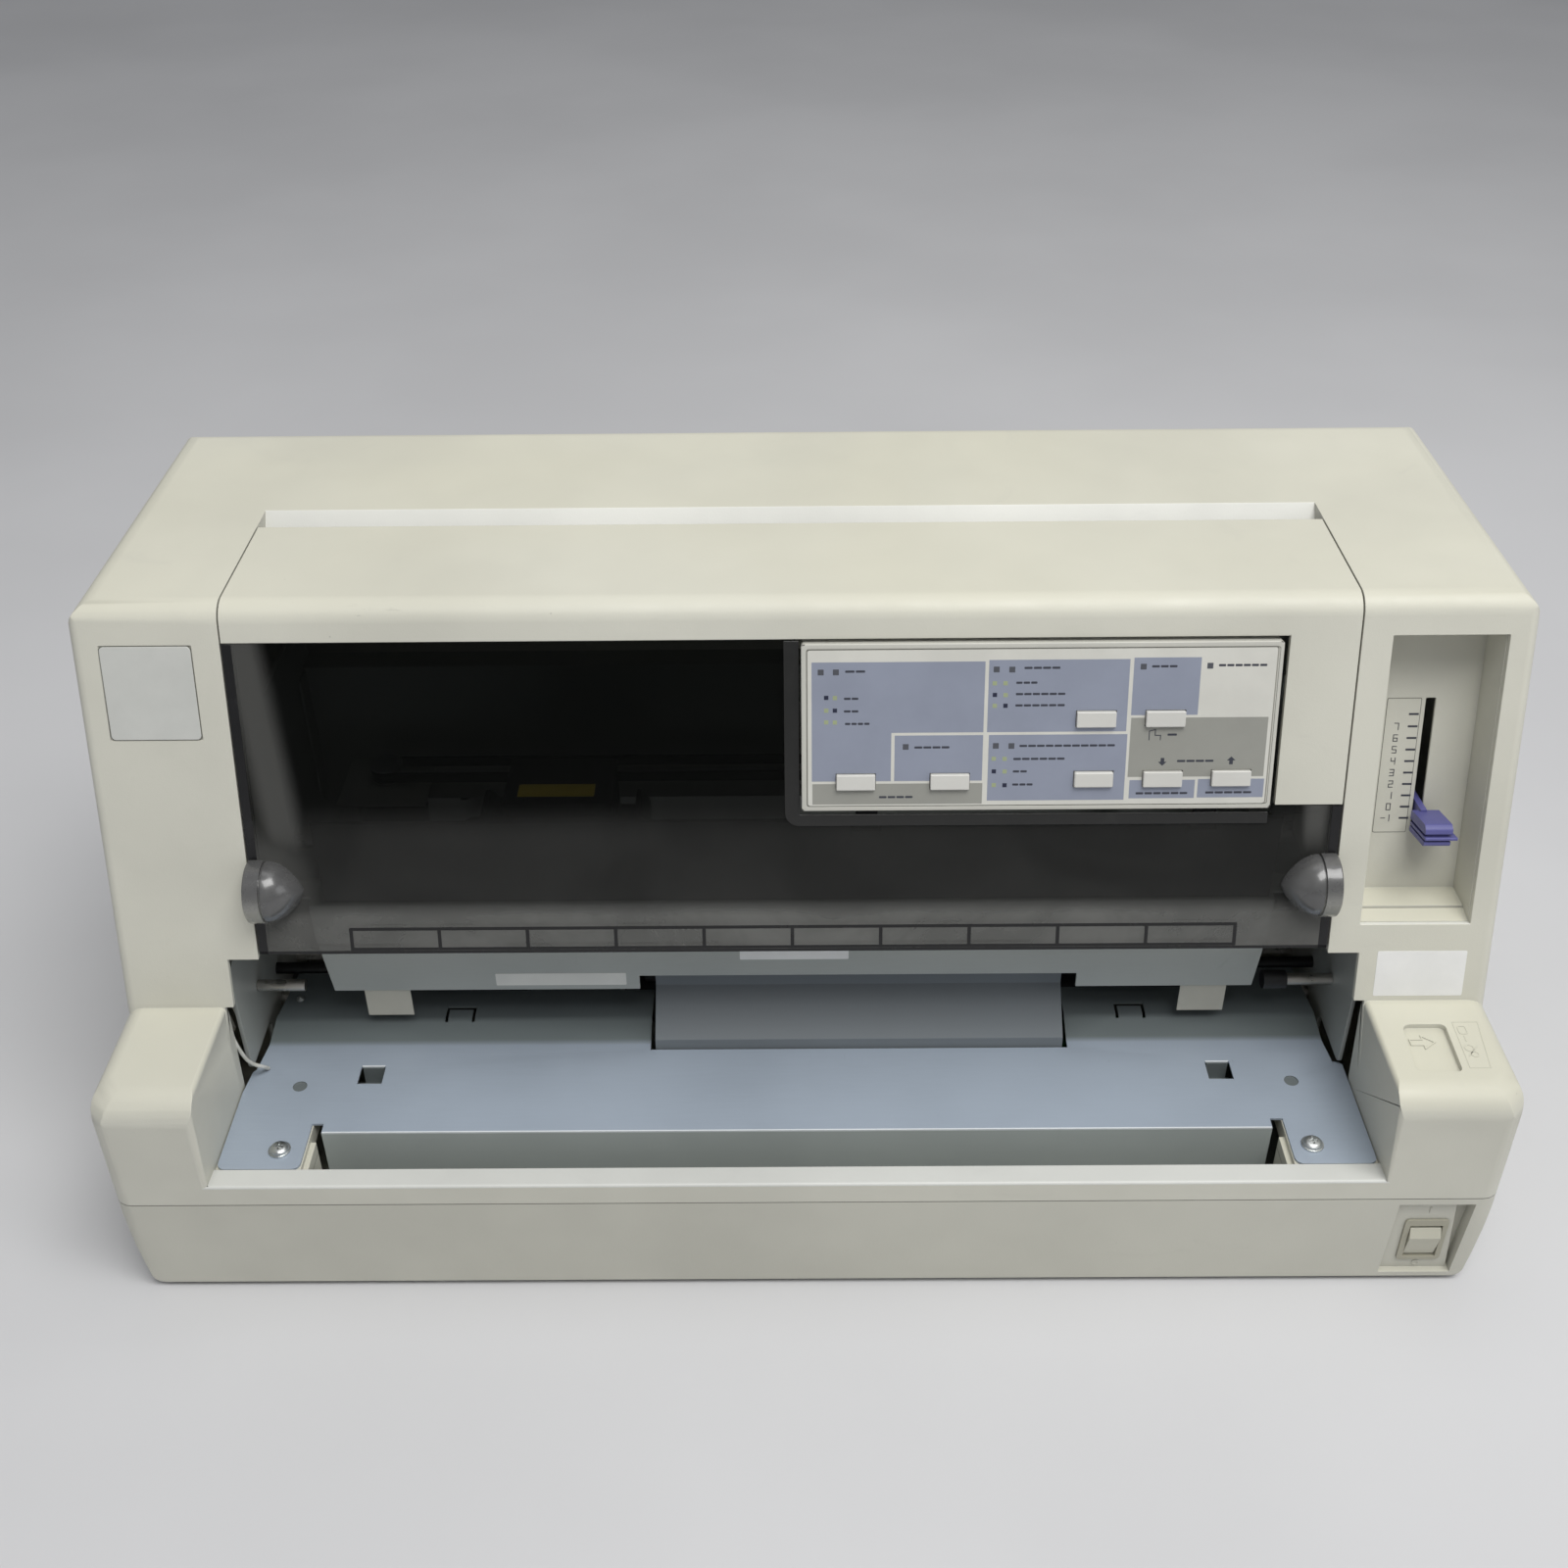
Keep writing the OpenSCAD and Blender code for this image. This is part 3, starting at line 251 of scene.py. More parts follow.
def metal(name, rgb, rough=0.3, aniso=0.3, axis=0):
    m = Mat(name)
    base = lin(*rgb)
    sc = [90.0, 90.0, 90.0]
    sc[axis] = 2.0
    ln = m.noise(18.0, 4, 0.65, vec=m.vec(tuple(sc)))
    spots = m.noise(120.0, 4, 0.6)
    col = m.mix(m.ramp(spots, 0.3, 0.75), tuple(c * 0.82 for c in base), base)
    n1 = m.bump(ln, 0.12, 0.00006)
    m.set(color=col, rough=m.ramp(spots, 0.25, 0.75, rough - 0.08, rough + 0.12), metal=1.0, normal=n1)
    return m.m


def rubber(name, rgb, rough=0.75):
    m = Mat(name)
    base = lin(*rgb)
    dust = m.noise(150.0, 5, 0.65)
    col = m.mix(m.ramp(dust, 0.45, 0.8, 0.0, 0.5), base, tuple(min(1, c * 2.2 + 0.012) for c in base))
    n1 = m.bump(m.noise(900.0, 2, 0.6), 0.25, 0.0002)
    m.set(color=col, rough=m.ramp(dust, 0.2, 0.8, rough - 0.1, rough + 0.1), normal=n1)
    return m.m


def printed(name, rgb, rough=0.38):
    """Silk-screened film: even colour, faint texture."""
    m = Mat(name)
    base = lin(*rgb)
    blot = m.noise(40.0, 4, 0.6)
    col = m.mix(m.ramp(blot, 0.25, 0.75), tuple(c * 0.955 for c in base), tuple(min(1, c * 1.03) for c in base))
    n1 = m.bump(m.noise(1400.0, 2, 0.5), 0.12, 0.0001)
    m.set(color=col, rough=m.ramp(blot, 0.2, 0.8, rough - 0.05, rough + 0.07), normal=n1)
    return m.m


M = {}
M["case"] = plastic("case", (208, 207, 196), 0.47, warm=(1.03, 1.01, 0.90), age=0.7,
                    seam=53.5,
                    marks=((-192, 115, 300, 8, 5, 5, 0.30, 420.0, (0.12, 1.0, 1.0), 0.56), (-176, 112, 301, 7, 4, 4, 0.26, 420.0, (0.12, 1.0, 1.0), 0.56), (-249, 8.9, 65.3, 3.6, 1.2, 2.6, 0.34, 300.0, (1.0, 1.0, 1.0), 0.52),
                           (237.8, 10.1, 65.3, 3.0, 1.2, 2.4, 0.34, 300.0, (1.0, 1.0, 1.0), 0.52)))
M["case_lower"] = plastic("case_lower", (199, 198, 187), 0.5, age=0.35, seam=53.5, marks=((-249, 8.9, 65.3, 3.6, 1.2, 2.6, 0.34, 300.0, (1.0, 1.0, 1.0), 0.52), (237.8, 10.1, 65.3, 3.0, 1.2, 2.4, 0.34, 300.0, (1.0, 1.0, 1.0), 0.52)))
# paler plastic, partly its own unyellowed colour and partly painted light on the slot wall behind the cover
M["case_pale"] = plastic("case_pale", (228, 228, 221), 0.46, crevice_shade=0.06)
M["case_rim"] = plastic("case_rim", (214, 215, 210), 0.47, seam=53.5)
M["insert"] = plastic("insert", (204, 203, 192), 0.5, age=0.3)
M["panel"] = plastic("panel", (200, 199, 190), 0.42, grain=0.12, crevice_shade=0.07)
M["badge"] = printed("badge", (202, 203, 198), 0.36)
M["overlay"] = printed("overlay", (212, 211, 203), 0.4)
M["button"] = plastic("button", (216, 215, 209), 0.33, grain=0.08, crevice_shade=0.05, wear=False)
M["violet"] = plastic("violet", (92, 92, 150), 0.38, grain=0.14, crevice_shade=0.08, wear=False)
M["switch"] = plastic("switch", (168, 165, 148), 0.42, grain=0.15, crevice_shade=0.1)
M["rocker"] = plastic("rocker", (194, 192, 176), 0.36, grain=0.1, crevice_shade=0.06)
M["black_plastic"] = plastic("black_plastic", (26, 26, 28), 0.42, grain=0.3, wear=False)
M["motor"] = painted("motor", (40, 40, 42), 0.4, 0.3)
M["knob"] = plastic("knob", (70, 70, 74), 0.45, wear=False)
M["gear"] = plastic("gear", (226, 224, 214), 0.4, grain=0.1, wear=False)
M["socket"] = plastic("socket", (52, 66, 120), 0.4, wear=False)
# table paint, with painted shade and painted reflection on its rear zone
M["table"] = painted("table", (166, 177, 190), 0.40, 0.15, rear=True)
# painted light: a paler, greyer copy of the table paint that lifts the front flange
M["flange"] = painted("flange", (186, 194, 192), 0.38, 0.1, 0.3)
# painted highlight: near-white paint for the bright lines along the table's bends
M["table_edge"] = painted("table_edge", (226, 231, 234), 0.3, 0.0, 0.2)
# painted shade: dark grey for the floors of the round holes and the tabs seen down the square holes
M["hole_floor"] = painted("hole_floor", (116, 123, 124), 0.45, 0.2)
M["dark_steel"] = metal("dark_steel", (54, 54, 54), 0.4)
M["grey_steel"] = painted("grey_steel", (172, 175, 170), 0.42, 0.25)
M["guide"] = painted("guide", (116, 122, 126), 0.62, 0.0, 0.3)
M["shaft"] = metal("shaft", (196, 192, 186), 0.28)
M["screw"] = metal("screw", (214, 217, 216), 0.36)
M["brass"] = metal("brass", (200, 164, 90), 0.3)
M["head"] = painted("head", (34, 34, 36), 0.4, 0.4)
M["pulley"] = metal("pulley", (190, 190, 192), 0.35)
M["psu"] = metal("psu", (176, 178, 174), 0.42)
M["belt"] = rubber("belt", (24, 24, 24))
M["roller"] = rubber("roller", (30, 30, 31), 0.62)
M["feet"] = rubber("feet", (22, 22, 22))
M["film"] = printed("film", (196, 193, 180), 0.5)


def pcb():
    m = Mat("board")
    base = lin(28, 92, 52)
    tr = m.voronoi(260.0, "DISTANCE_TO_EDGE", m.vec((1, 1, 0.001)))
    col = m.mix(m.ramp(tr, 0.0, 0.08, 1.0, 0.0), base, lin(40, 122, 70))
    m.set(color=col, rough=m.ramp(m.noise(60.0), 0.3, 0.7, 0.3, 0.45), normal=m.bump(tr, 0.15, 0.00005))
    return m.m


M["board"] = pcb()


def smoke():
    """Smoked clear plastic: almost black above, hazy and dusty near its lower edge."""
    m = Mat("window")
    sl = m.slope()
    x = m.xyz()[0]
    haze = m.noise(13.0, 5, 0.62, dist=0.8)
    hz = m.ramp(haze, 0.30, 0.72, 0.72, 1.12)
    low = m.ramp(sl, 45.0, 54.0, 0.78, 0.17)
    top = m.ramp(sl, 84.0, 104.0, 1.0, 0.0)
    k = m.math("MULTIPLY", m.math("MULTIPLY", low, top), hz)
    corner = m.math("MULTIPLY", m.ramp(x, -0.244, -0.212, 0.62, 0.0), m.ramp(sl, 62.0, 104.0, 1.0, 0.0))
    # side walls of the cover shine through as soft pale bands
    c1 = m.math("ADD", m.math("MULTIPLY", m.math("SUBTRACT", 158.0, sl), 0.00011), -0.2432)
    b1 = m.ramp(m.math("ABSOLUTE", m.math("SUBTRACT", x, c1)), 0.0030, 0.0130, 0.46, 0.0)
    b1 = m.math("MULTIPLY", b1, m.ramp(sl, 66.0, 92.0, 0.25, 1.0))
    b2 = m.ramp(m.math("ABSOLUTE", m.math("SUBTRACT", x, 0.2305)), 0.002, 0.0085, 0.5, 0.0)
    b2 = m.math("MULTIPLY", b2, m.ramp(sl, 66.0, 90.0, 0.0, 1.0))
    k = m.math("MAXIMUM", m.math("MAXIMUM", k, corner), m.math("MAXIMUM", b1, b2))
    col = m.mix(k, lin(7, 8, 7), lin(124, 124, 121))
    dots = m.math("MULTIPLY", m.ramp(m.voronoi(330.0), 0.0, 0.10, 1.0, 0.0), m.ramp(m.noise(24.0, 3, 0.6), 0.56, 0.68, 0.0, 0.5))
    spots = m.math("MULTIPLY", m.ramp(m.voronoi(34.0), 0.0, 0.035, 1.0, 0.0), m.ramp(m.noise(7.0, 2, 0.5), 0.52, 0.6, 0.0, 0.55))
    col = m.mix(m.math("MAXIMUM", dots, spots), col, lin(120, 119, 114))
    wipe = m.noise(11.0, 4, 0.6, vec=m.vec((0.25, 1.0, 1.0)), dist=1.0)
    a = m.ramp(k, 0.0, 0.9, 0.60, 0.74)
    m.set(color=col, rough=m.ramp(wipe, 0.3, 0.75, 0.08, 0.22), alpha=a, ior=1.46, spec=0.10, normal=m.bump(m.noise(5.0, 2, 0.5), 0.02, 0.002))
    return m.m


def smoke_solid(name="window_bar", lo=(24, 24, 25), hi=(60, 60, 60), rough=0.24):
    """The same plastic where it is thick: frame bars and ribs."""
    m = Mat(name)
    dust = m.noise(60.0, 5, 0.65)
    col = m.mix(m.ramp(dust, 0.5, 0.85, 0.0, 0.25), lin(*lo), lin(*hi))
    m.set(color=col, rough=m.ramp(dust, 0.3, 0.75, rough - 0.06, rough + 0.06), ior=1.46, normal=m.bump(m.noise(700.0, 2, 0.5), 0.05, 0.0001))
    return m.m


def smoke_grip():
    """Finger grips: clear grey plastic, glossy, paler at the collar."""
    m = Mat("window_grip")
    x = m.math("ABSOLUTE", m.math("SUBTRACT", m.xyz()[0], -0.0055))
    o = m.slope()
    dust = m.noise(45.0, 5, 0.65)
    base = m.mix(m.ramp(dust, 0.45, 0.8, 0.0, 0.4), lin(86, 86, 86), lin(114, 114, 112))
    low = m.ramp(o, 50.0, 66.0, 1.0, 0.0)
    col = m.mix(m.math("MULTIPLY", m.ramp(x, 0.2388, 0.2402, 0.0, 0.75), low), base, lin(176, 176, 168))
    m.set(color=col, rough=m.ramp(dust, 0.3, 0.75, 0.22, 0.32), alpha=0.9, ior=1.5, spec=0.7, coat=0.5, coat_rough=0.08, normal=m.bump(m.noise(600.0, 2, 0.5), 0.03, 0.0001))
    return m.m


M["window"] = smoke()
M["window_bar"] = smoke_solid()
M["window_frame"] = smoke_solid("window_frame", (38, 38, 37), (62, 62, 60), 0.2)
M["window_grip"] = smoke_grip()

# ------------------------------------------------------------------ CAD nodes: finish and softened edges
SLOT_OF = {p["node"]: p["material_slot"] for p in frame["record"]["subparts"]}
BEV = {  # width mm, segments
    "upper_case": (0.35, 2), "lower_case": (0.35, 2), "printer_cover": (0.25, 2), "cover_window": (0.35, 2), "lever_panel": (0.5, 2),
    "panel_housing": (0.5, 3), "panel_overlay": (0.06, 1), "badge_plate": (0.25, 2), "front_table": (0.3, 2), "centre_guide": (0.3, 2),
    "front_beam": (0.35, 2), "film_tabs": (0.05, 1), "power_switch": (0.35, 2), "power_rocker": (0.4, 2), "print_head": (0.35, 2),
    "ribbon_cartridge": (0.8, 3), "rubber_feet": (0.8, 3), "timing_belt": (0.15, 1), "fasteners": (0.12, 2),
}
for i in range(1, 8):
    BEV["button_%d" % i] = (0.8, 4)


# pieces whose shortest edges would stop every other edge from being rounded
FREE = {"upper_case", "lower_case", "printer_cover", "panel_housing", "lever_panel", "power_rocker"}
PLAIN = {"lower_case", "power_supply", "print_head", "cover_window", "printer_cover", "panel_overlay", "panel_housing", "front_table", "lever_panel"}


def soften(o, width, seg, angle=34):
    me = o.data
    if "custom_normal" in me.attributes:
        me.attributes.remove(me.attributes["custom_normal"])
    for p in me.polygons:
        p.use_smooth = True
    w = o.modifiers.new("weld", "WELD")
    w.merge_threshold = 0.00003 if o.name.split(".")[0] == "upper_case" else 0.000004
    if o.name.split(".")[0] not in PLAIN:
        d = o.modifiers.new("flat", "DECIMATE")
        d.decimate_type = "DISSOLVE"
        d.angle_limit = math.radians(0.6)
        d.delimit = {"MATERIAL"}
    b = o.modifiers.new("edge", "BEVEL")
    b.width = width / 1000
    b.segments = seg
    b.limit_method = "ANGLE"
    b.angle_limit = math.radians(angle)
    b.use_clamp_overlap = o.name.split(".")[0] not in FREE
    b.harden_normals = False
    b.miter_outer = "MITER_ARC"
    wn = o.modifiers.new("normal", "WEIGHTED_NORMAL")
    wn.mode = "FACE_AREA"
    wn.weight = 60
    wn.keep_sharp = True


for name, o in N.items():
    o.data.materials.clear()
    o.data.materials.append(M[SLOT_OF[name]])
    wd, sg = BEV.get(name, (0.25, 1))
    soften(o, wd, sg)


def by_face(node, mats, pick):
    """Several finishes on one node, chosen by each face's middle in case millimetres."""
    me = N[node].data
    for k in mats:
        me.materials.append(M[k])
    for p in me.polygons:
        c = p.center
        p.material_index = pick(c.x * 1000, c.y * 1000 + DEPTH, c.z * 1000 - FOOT)


def roller_pick(y0, z0, r):
    def f(x, y, z):
        q = math.hypot(y - y0, z - z0)
        if x < -278:
            return 2
        return 1 if q < r else 0
    return f


by_face("platen_roller", ["shaft", "gear"], roller_pick(170, 58, 6))
for nd, y0 in (("front_feed_roller", 136), ("rear_feed_roller", 206)):
    by_face(nd, ["shaft", "gear"], roller_pick(y0, 59, 5.6))
for nd, y0, k in (("front_pinch_roller", 136, "dark_steel"), ("rear_pinch_roller", 206, "shaft")):
    by_face(nd, [k, "gear"], lambda x, y, z, y0=y0: 1 if math.hypot(y - y0, z - 79.4) < 3.6 else 0)

# ------------------------------------------------------------------ pieces made here
def rr(x0, x1, y0, y1, r=0.0, n=4):
    """Rounded rectangle as a list of corners."""
    if r <= 0:
        return [(x0, y0), (x1, y0), (x1, y1), (x0, y1)]
    out = []
    for cx, cy, a0 in ((x1 - r, y0 + r, -90), (x1 - r, y1 - r, 0), (x0 + r, y1 - r, 90), (x0 + r, y0 + r, 180)):
        for k in range(n + 1):
            a = math.radians(a0 + 90 * k / n)
            out.append((cx + r * math.cos(a), cy + r * math.sin(a)))
    return out


def disc(cx, cy, r, n=24):
    return [(cx + r * math.cos(2 * math.pi * k / n), cy + r * math.sin(2 * math.pi * k / n)) for k in range(n)]


class Bag:
    """Closed prisms gathered into one piece. place(a, b, h) gives the point for a, b in the plane and h off it."""

    def __init__(self, place):
        self.p, self.v, self.f, self.m = place, [], [], []

    def prism(self, pts, h0, h1, mi=0):
        n, b = len(pts), len(self.v)
        self.v += [self.p(x, y, h0) for x, y in pts] + [self.p(x, y, h1) for x, y in pts]
        self.f.append([b + n - 1 - i for i in range(n)])
        self.f.append([b + n + i for i in range(n)])
        for i in range(n):
            j = (i + 1) % n
            self.f.append([b + i, b + j, b + n + j, b + n + i])
        self.m += [mi] * (n + 2)
        return self

    def ring(self, outer, inner, h0, h1, mi=0):
        """A closed band between two outlines with the same number of corners."""
        n, b = len(outer), len(self.v)
        for pts, h in ((outer, h0), (inner, h0), (inner, h1), (outer, h1)):
            self.v += [self.p(x, y, h) for x, y in pts]
        for i in range(n):
            j = (i + 1) % n
            for k in range(4):
                q = (k + 1) % 4
                self.f.append([b + k * n + i, b + k * n + j, b + q * n + j, b + q * n + i])
        self.m += [mi] * (4 * n)
        return self

    def stroke(self, pts, w, h0, h1, mi=0):
        """Straight bars of width w along a line of points."""
        for (x0, y0), (x1, y1) in zip(pts, pts[1:]):
            d = math.hypot(x1 - x0, y1 - y0)
            ux, uy = (x1 - x0) / d * w / 2, (y1 - y0) / d * w / 2
            self.prism([(x0 - ux + uy, y0 - uy - ux), (x1 + ux + uy, y1 + uy - ux), (x1 + ux - uy, y1 + uy + ux), (x0 - ux - uy, y0 - uy + ux)], h0, h1, mi)
        return self

    def done(self, name, mats, body, bevel=0.0, seg=2):
        me = bpy.data.meshes.new(name)
        me.from_pydata([tuple(v) for v in self.v], [], self.f)
        for k, p in zip(self.m, me.polygons):
            p.material_index = k
        bm = bmesh.new()
        bm.from_mesh(me)
        bmesh.ops.recalc_face_normals(bm, faces=bm.faces)
        bm.to_mesh(me)
        bm.free()
        o = bpy.data.objects.new(name, me)
        COLL.objects.link(o)
        for k in mats:
            me.materials.append(M[k] if isinstance(k, str) else k)
        if bevel:
            for p in me.polygons:
                p.use_smooth = True
            b = o.modifiers.new("edge", "BEVEL")
            b.width, b.segments, b.limit_method, b.angle_limit = bevel / 1000, seg, "ANGLE", math.radians(40)
            wn = o.modifiers.new("normal", "WEIGHTED_NORMAL")
            wn.keep_sharp = True
        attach(o, body)
        return o


M["blue_print"] = printed("blue_print", (144, 150, 166), 0.4)
M["grey_print"] = printed("grey_print", (152, 152, 145), 0.4)
M["ink"] = printed("ink", (58, 60, 70), 0.45)
M["ink_soft"] = printed("ink_soft", (92, 93, 96), 0.45)
M["led"] = printed("led", (84, 86, 92), 0.22)
M["legend_dark"] = printed("legend_dark", (36, 40, 62), 0.4)
M["legend_green"] = printed("legend_green", (158, 168, 132), 0.4)
M["label"] = printed("label", (236, 236, 234), 0.36)
M["label_grey"] = printed("label_grey", (222, 222, 216), 0.4)
M["label_yellow"] = printed("label_yellow", (232, 208, 60), 0.4)
M["hairline"] = printed("hairline", (112, 112, 104), 0.5)

# control panel: printed fields round the button openings
BTN = [(23.4, 112), (65.2, 112), (128.8, 140.8), (129, 112.6), (159.2, 140.8), (159.6, 112.6), (190, 112.8)]
HOLES = [(x - 8.95, x + 8.95, y - 3.9, y + 3.9) for x, y in BTN]


def field(bag, x0, x1, y0, y1, mi):
    """A printed field with its button openings left out."""
    hs = [h for h in HOLES if h[0] < x1 and h[1] > x0 and h[2] < y1 and h[3] > y0]
    xs = sorted({x0, x1, *[v for h in hs for v in h[:2] if x0 < v < x1]})
    ys = sorted({y0, y1, *[v for h in hs for v in h[2:] if y0 < v < y1]})
    for a, b in zip(xs, xs[1:]):
        for c, d in zip(ys, ys[1:]):
            mx, my = (a + b) / 2, (c + d) / 2
            if not any(h[0] < mx < h[1] and h[2] < my < h[3] for h in hs):
                bag.prism([(a, c), (b, c), (b, d), (a, d)], 2.15, 2.23, mi)


pp = Bag(FP)
for x0, x1, y0, y1 in ((3.9, 39.0, 112.2, 167.4), (39.0, 79.5, 134.9, 167.4), (40.5, 79.5, 112.2, 133.6),
                       (81.1, 142.3, 134.9, 168.0), (82.0, 143.0, 102.6, 133.6), (144.0, 173.2, 142.3, 168.6),
                       (145.2, 174.3, 103.2, 111.9), (175.6, 205.0, 103.4, 112.2)):
    field(pp, x0, x1, y0, y1, 0)
for x0, x1, y0, y1 in ((4.1, 79.8, 101.2, 111.0), (144.2, 204.4, 113.4, 141.1)):
    field(pp, x0, x1, y0, y1, 1)
pp.done("panel_print", ["blue_print", "grey_print"], "root")

pm = Bag(FP)
for x, y in ((7.9, 162.9), (14.5, 162.9), (45.4, 128.3), (84.4, 163.7), (91.2, 163.6), (85.2, 128.5), (92.1, 128.4), (148.2, 164.5), (177.1, 164.7)):
    pm.prism(rr(x - 1.3, x + 1.3, y - 1.3, y + 1.3, 0.2), 2.2, 2.27, 1)
for x, y, k in ((10.3, 151.3, 2), (14.1, 151.2, 3), (10.3, 145.4, 3), (14.1, 145.4, 2), (10.3, 140.0, 3), (14.1, 139.9, 3),
                (83.8, 157.4, 3), (88.5, 157.4, 3), (84.0, 152.1, 2), (88.7, 152.0, 3), (84.1, 147.1, 3), (88.8, 147.1, 2),
                (84.5, 122.5, 3), (89.3, 122.4, 3), (84.7, 116.5, 2), (89.5, 116.4, 3), (84.9, 110.0, 3), (89.7, 109.9, 2)):
    pm.prism(rr(x - 0.95, x + 0.95, y - 0.95, y + 0.95), 2.2, 2.27, k)
# short dashes where the legends stand
for x0, x1, y, n in ((18.3, 27.5, 163.2, 2), (17.8, 24.6, 150.8, 2), (17.8, 24.6, 145.0, 2), (18.3, 29.6, 139.2, 4), (49.0, 65, 128.0, 4),
                     (33.6, 49.1, 104.6, 4), (96.2, 112.3, 164.3, 4), (92.9, 102.6, 157.6, 3), (92.9, 115, 152.4, 6), (92.9, 115, 147.2, 6),
                     (95.4, 138, 128.4, 11), (92.9, 116.1, 122.3, 6), (92.9, 99.6, 116.4, 2), (92.9, 102.4, 110.2, 3), (151.6, 163.1, 164.6, 3),
                     (180.6, 202, 164.9, 6), (160.4, 165.0, 133.2, 1), (165.4, 182.0, 120.8, 4), (148.0, 171.5, 105.6, 6), (179.0, 200, 105.8, 5)):
    w = (x1 - x0) / n
    for i in range(n):
        pm.prism(rr(x0 + i * w + 0.25, x0 + (i + 1) * w - 0.25, y - 0.5, y + 0.5, 0.3, 2), 2.2, 2.26, 0)
for x, y, d in ((159.2, 120.6, -1), (189.6, 120.8, 1)):
    pm.prism([(x - 0.8, y - 1.7 * d), (x + 0.8, y - 1.7 * d), (x + 0.8, y + 0.1 * d), (x + 1.9, y + 0.1 * d), (x, y + 2.0 * d), (x - 1.9, y + 0.1 * d), (x - 0.8, y + 0.1 * d)], 2.2, 2.26, 0)
pm.stroke([(152.6, 130.8), (152.6, 134.9), (155.2, 135.6), (155.2, 132.9), (157.6, 132.9), (157.6, 130.8)], 0.4, 2.2, 2.26, 0)
pm.done("panel_marks", ["ink", "led", "legend_dark", "legend_green"], "root")
# hairline border of the overlay
hb = Bag(FP)
hb.ring(rr(1.6, 207.1, 100.3, 173.3, 1.0), rr(1.85, 206.85, 100.55, 173.05, 0.9), 2.15, 2.215)
hb.done("panel_border", ["hairline"], "root")

# badge outline: a fine dark line round the blank plate
bo = Bag(FP)
bo.ring(rr(-306.5, -266.0, 133.0, 176.4, 2.0), rr(-306.15, -266.35, 133.35, 176.05, 1.8), -0.3, 0.06)
bo.done("badge_line", ["hairline"], "root")

# blank labels
lb = Bag(FP)
lb.prism(rr(265.6, 307.0, 2.6, 25.7, 0.8), -0.05, 0.12)
lb.done("column_label", ["label"], "root", bevel=0.05)
PY = lambda y: (lambda x, z, h: P(x, y - h, z))
bl = Bag(PY(100.0))
bl.prism(rr(-151.0, -87.0, 98.5, 106.1, 0.5), -0.05, 0.1)
bl.prism(rr(-31.0, 21.8, 114.2, 121.6, 0.5), -0.05, 0.1, 1)
bl.done("beam_labels", ["label_grey", "label"], "root")
hl = Bag(lambda x, y, h: P(x, y, 172.0 + h))
hl.prism(rr(-141.0, -103.0, 156.5, 167.0, 0.6), -0.05, 0.12)
hl.done("head_label", ["label_yellow"], "carriage")

# lever scale on the floor of the recess
sc = Bag(FP)
sc.prism(rr(265.4, 280.6, 75.2, 140.4, 0.6), -25.05, -24.9, 1)
sc.ring(rr(265.2, 280.8, 75.0, 140.6, 0.7), rr(265.45, 280.55, 75.25, 140.35, 0.6), -25.05, -24.86, 2)
for i in range(10):
    sk = 132.9 if i == 0 else 127.0 - (i - 1) * 5.61
    xk = 275.7 + i * 0.12
    sc.prism([(xk, sk - 0.45), (xk + 4.4, sk - 0.45), (xk + 4.4, sk + 0.45), (xk, sk + 0.45)], -24.95, -24.82, 0)
SEG = {"0": "abcdef", "1": "bc", "2": "abged", "3": "abgcd", "4": "fgbc", "5": "afgcd", "6": "afgedc", "7": "abc", "-": "g"}
DIG = {"a": ((0, 2), (1, 2)), "b": ((1, 2), (1, 1)), "c": ((1, 1), (1, 0)), "d": ((0, 0), (1, 0)), "e": ((0, 1), (0, 0)), "f": ((0, 2), (0, 1)), "g": ((0, 1), (1, 1))}
for i, word in enumerate(("7", "6", "5", "4", "3", "2", "1", "0", "-1")):
    sk = 127.0 - i * 5.61
    x0 = 269.7 + (i + 1) * 0.08 - (2.0 if len(word) > 1 else 0)
    for ch in word:
        for g in SEG[ch]:
            (ax, ay), (cx2, cy2) = DIG[g]
            sc.stroke([(x0 + ax * 1.8, sk - 1.55 + ay * 1.55), (x0 + cx2 * 1.8, sk - 1.55 + cy2 * 1.55)], 0.36, -24.95, -24.82, 0)
        x0 += 2.0 if ch == "-" else 2.6
sc.done("lever_scale", ["ink", "insert", "hairline"], "root")

# right ear: embossed arrow in its recess, pictogram plate beside it
PZ = lambda z: (lambda x, y, h: P(x, y, z + h))
AR = [(276.4, 37.0), (282.2, 37.0), (282.2, 34.4), (288.4, 39.1), (282.2, 43.8), (282.2, 41.2), (276.4, 41.2)]
AI = [(277.0, 37.6), (282.8, 37.6), (282.8, 35.6), (287.4, 39.1), (282.8, 42.6), (282.8, 40.6), (277.0, 40.6)]
ea = Bag(PZ(114.2))
ea.ring(AR, AI, -0.1, 0.5)
ea.done("ear_arrow", ["case"], "root", bevel=0.12)
pg = Bag(PZ(117.0))
pg.ring([(298.2, 49.8), (310.2, 49.8), (306.9, 19.6), (297.2, 19.6)], [(298.5, 49.5), (309.8, 49.5), (306.5, 19.9), (297.5, 19.9)], -0.1, 0.16)
pg.ring(rr(299.4, 303.4, 41.6, 47.0, 0.9), rr(299.8, 303.0, 42.0, 46.6, 0.7), -0.1, 0.2)
pg.stroke([(301.0, 37.0), (301.0, 40.4)], 0.4, -0.1, 0.2)
pg.ring(disc(300.9, 32.4, 2.2), disc(300.9, 32.4, 1.8), -0.1, 0.2)
pg.ring(disc(302.3, 28.4, 1.8), disc(302.3, 28.4, 1.4), -0.1, 0.2)
pg.stroke([(299.3, 27.2), (304.8, 33.6)], 0.4, -0.1, 0.2)
pg.done("ear_pictogram", ["case"], "root")

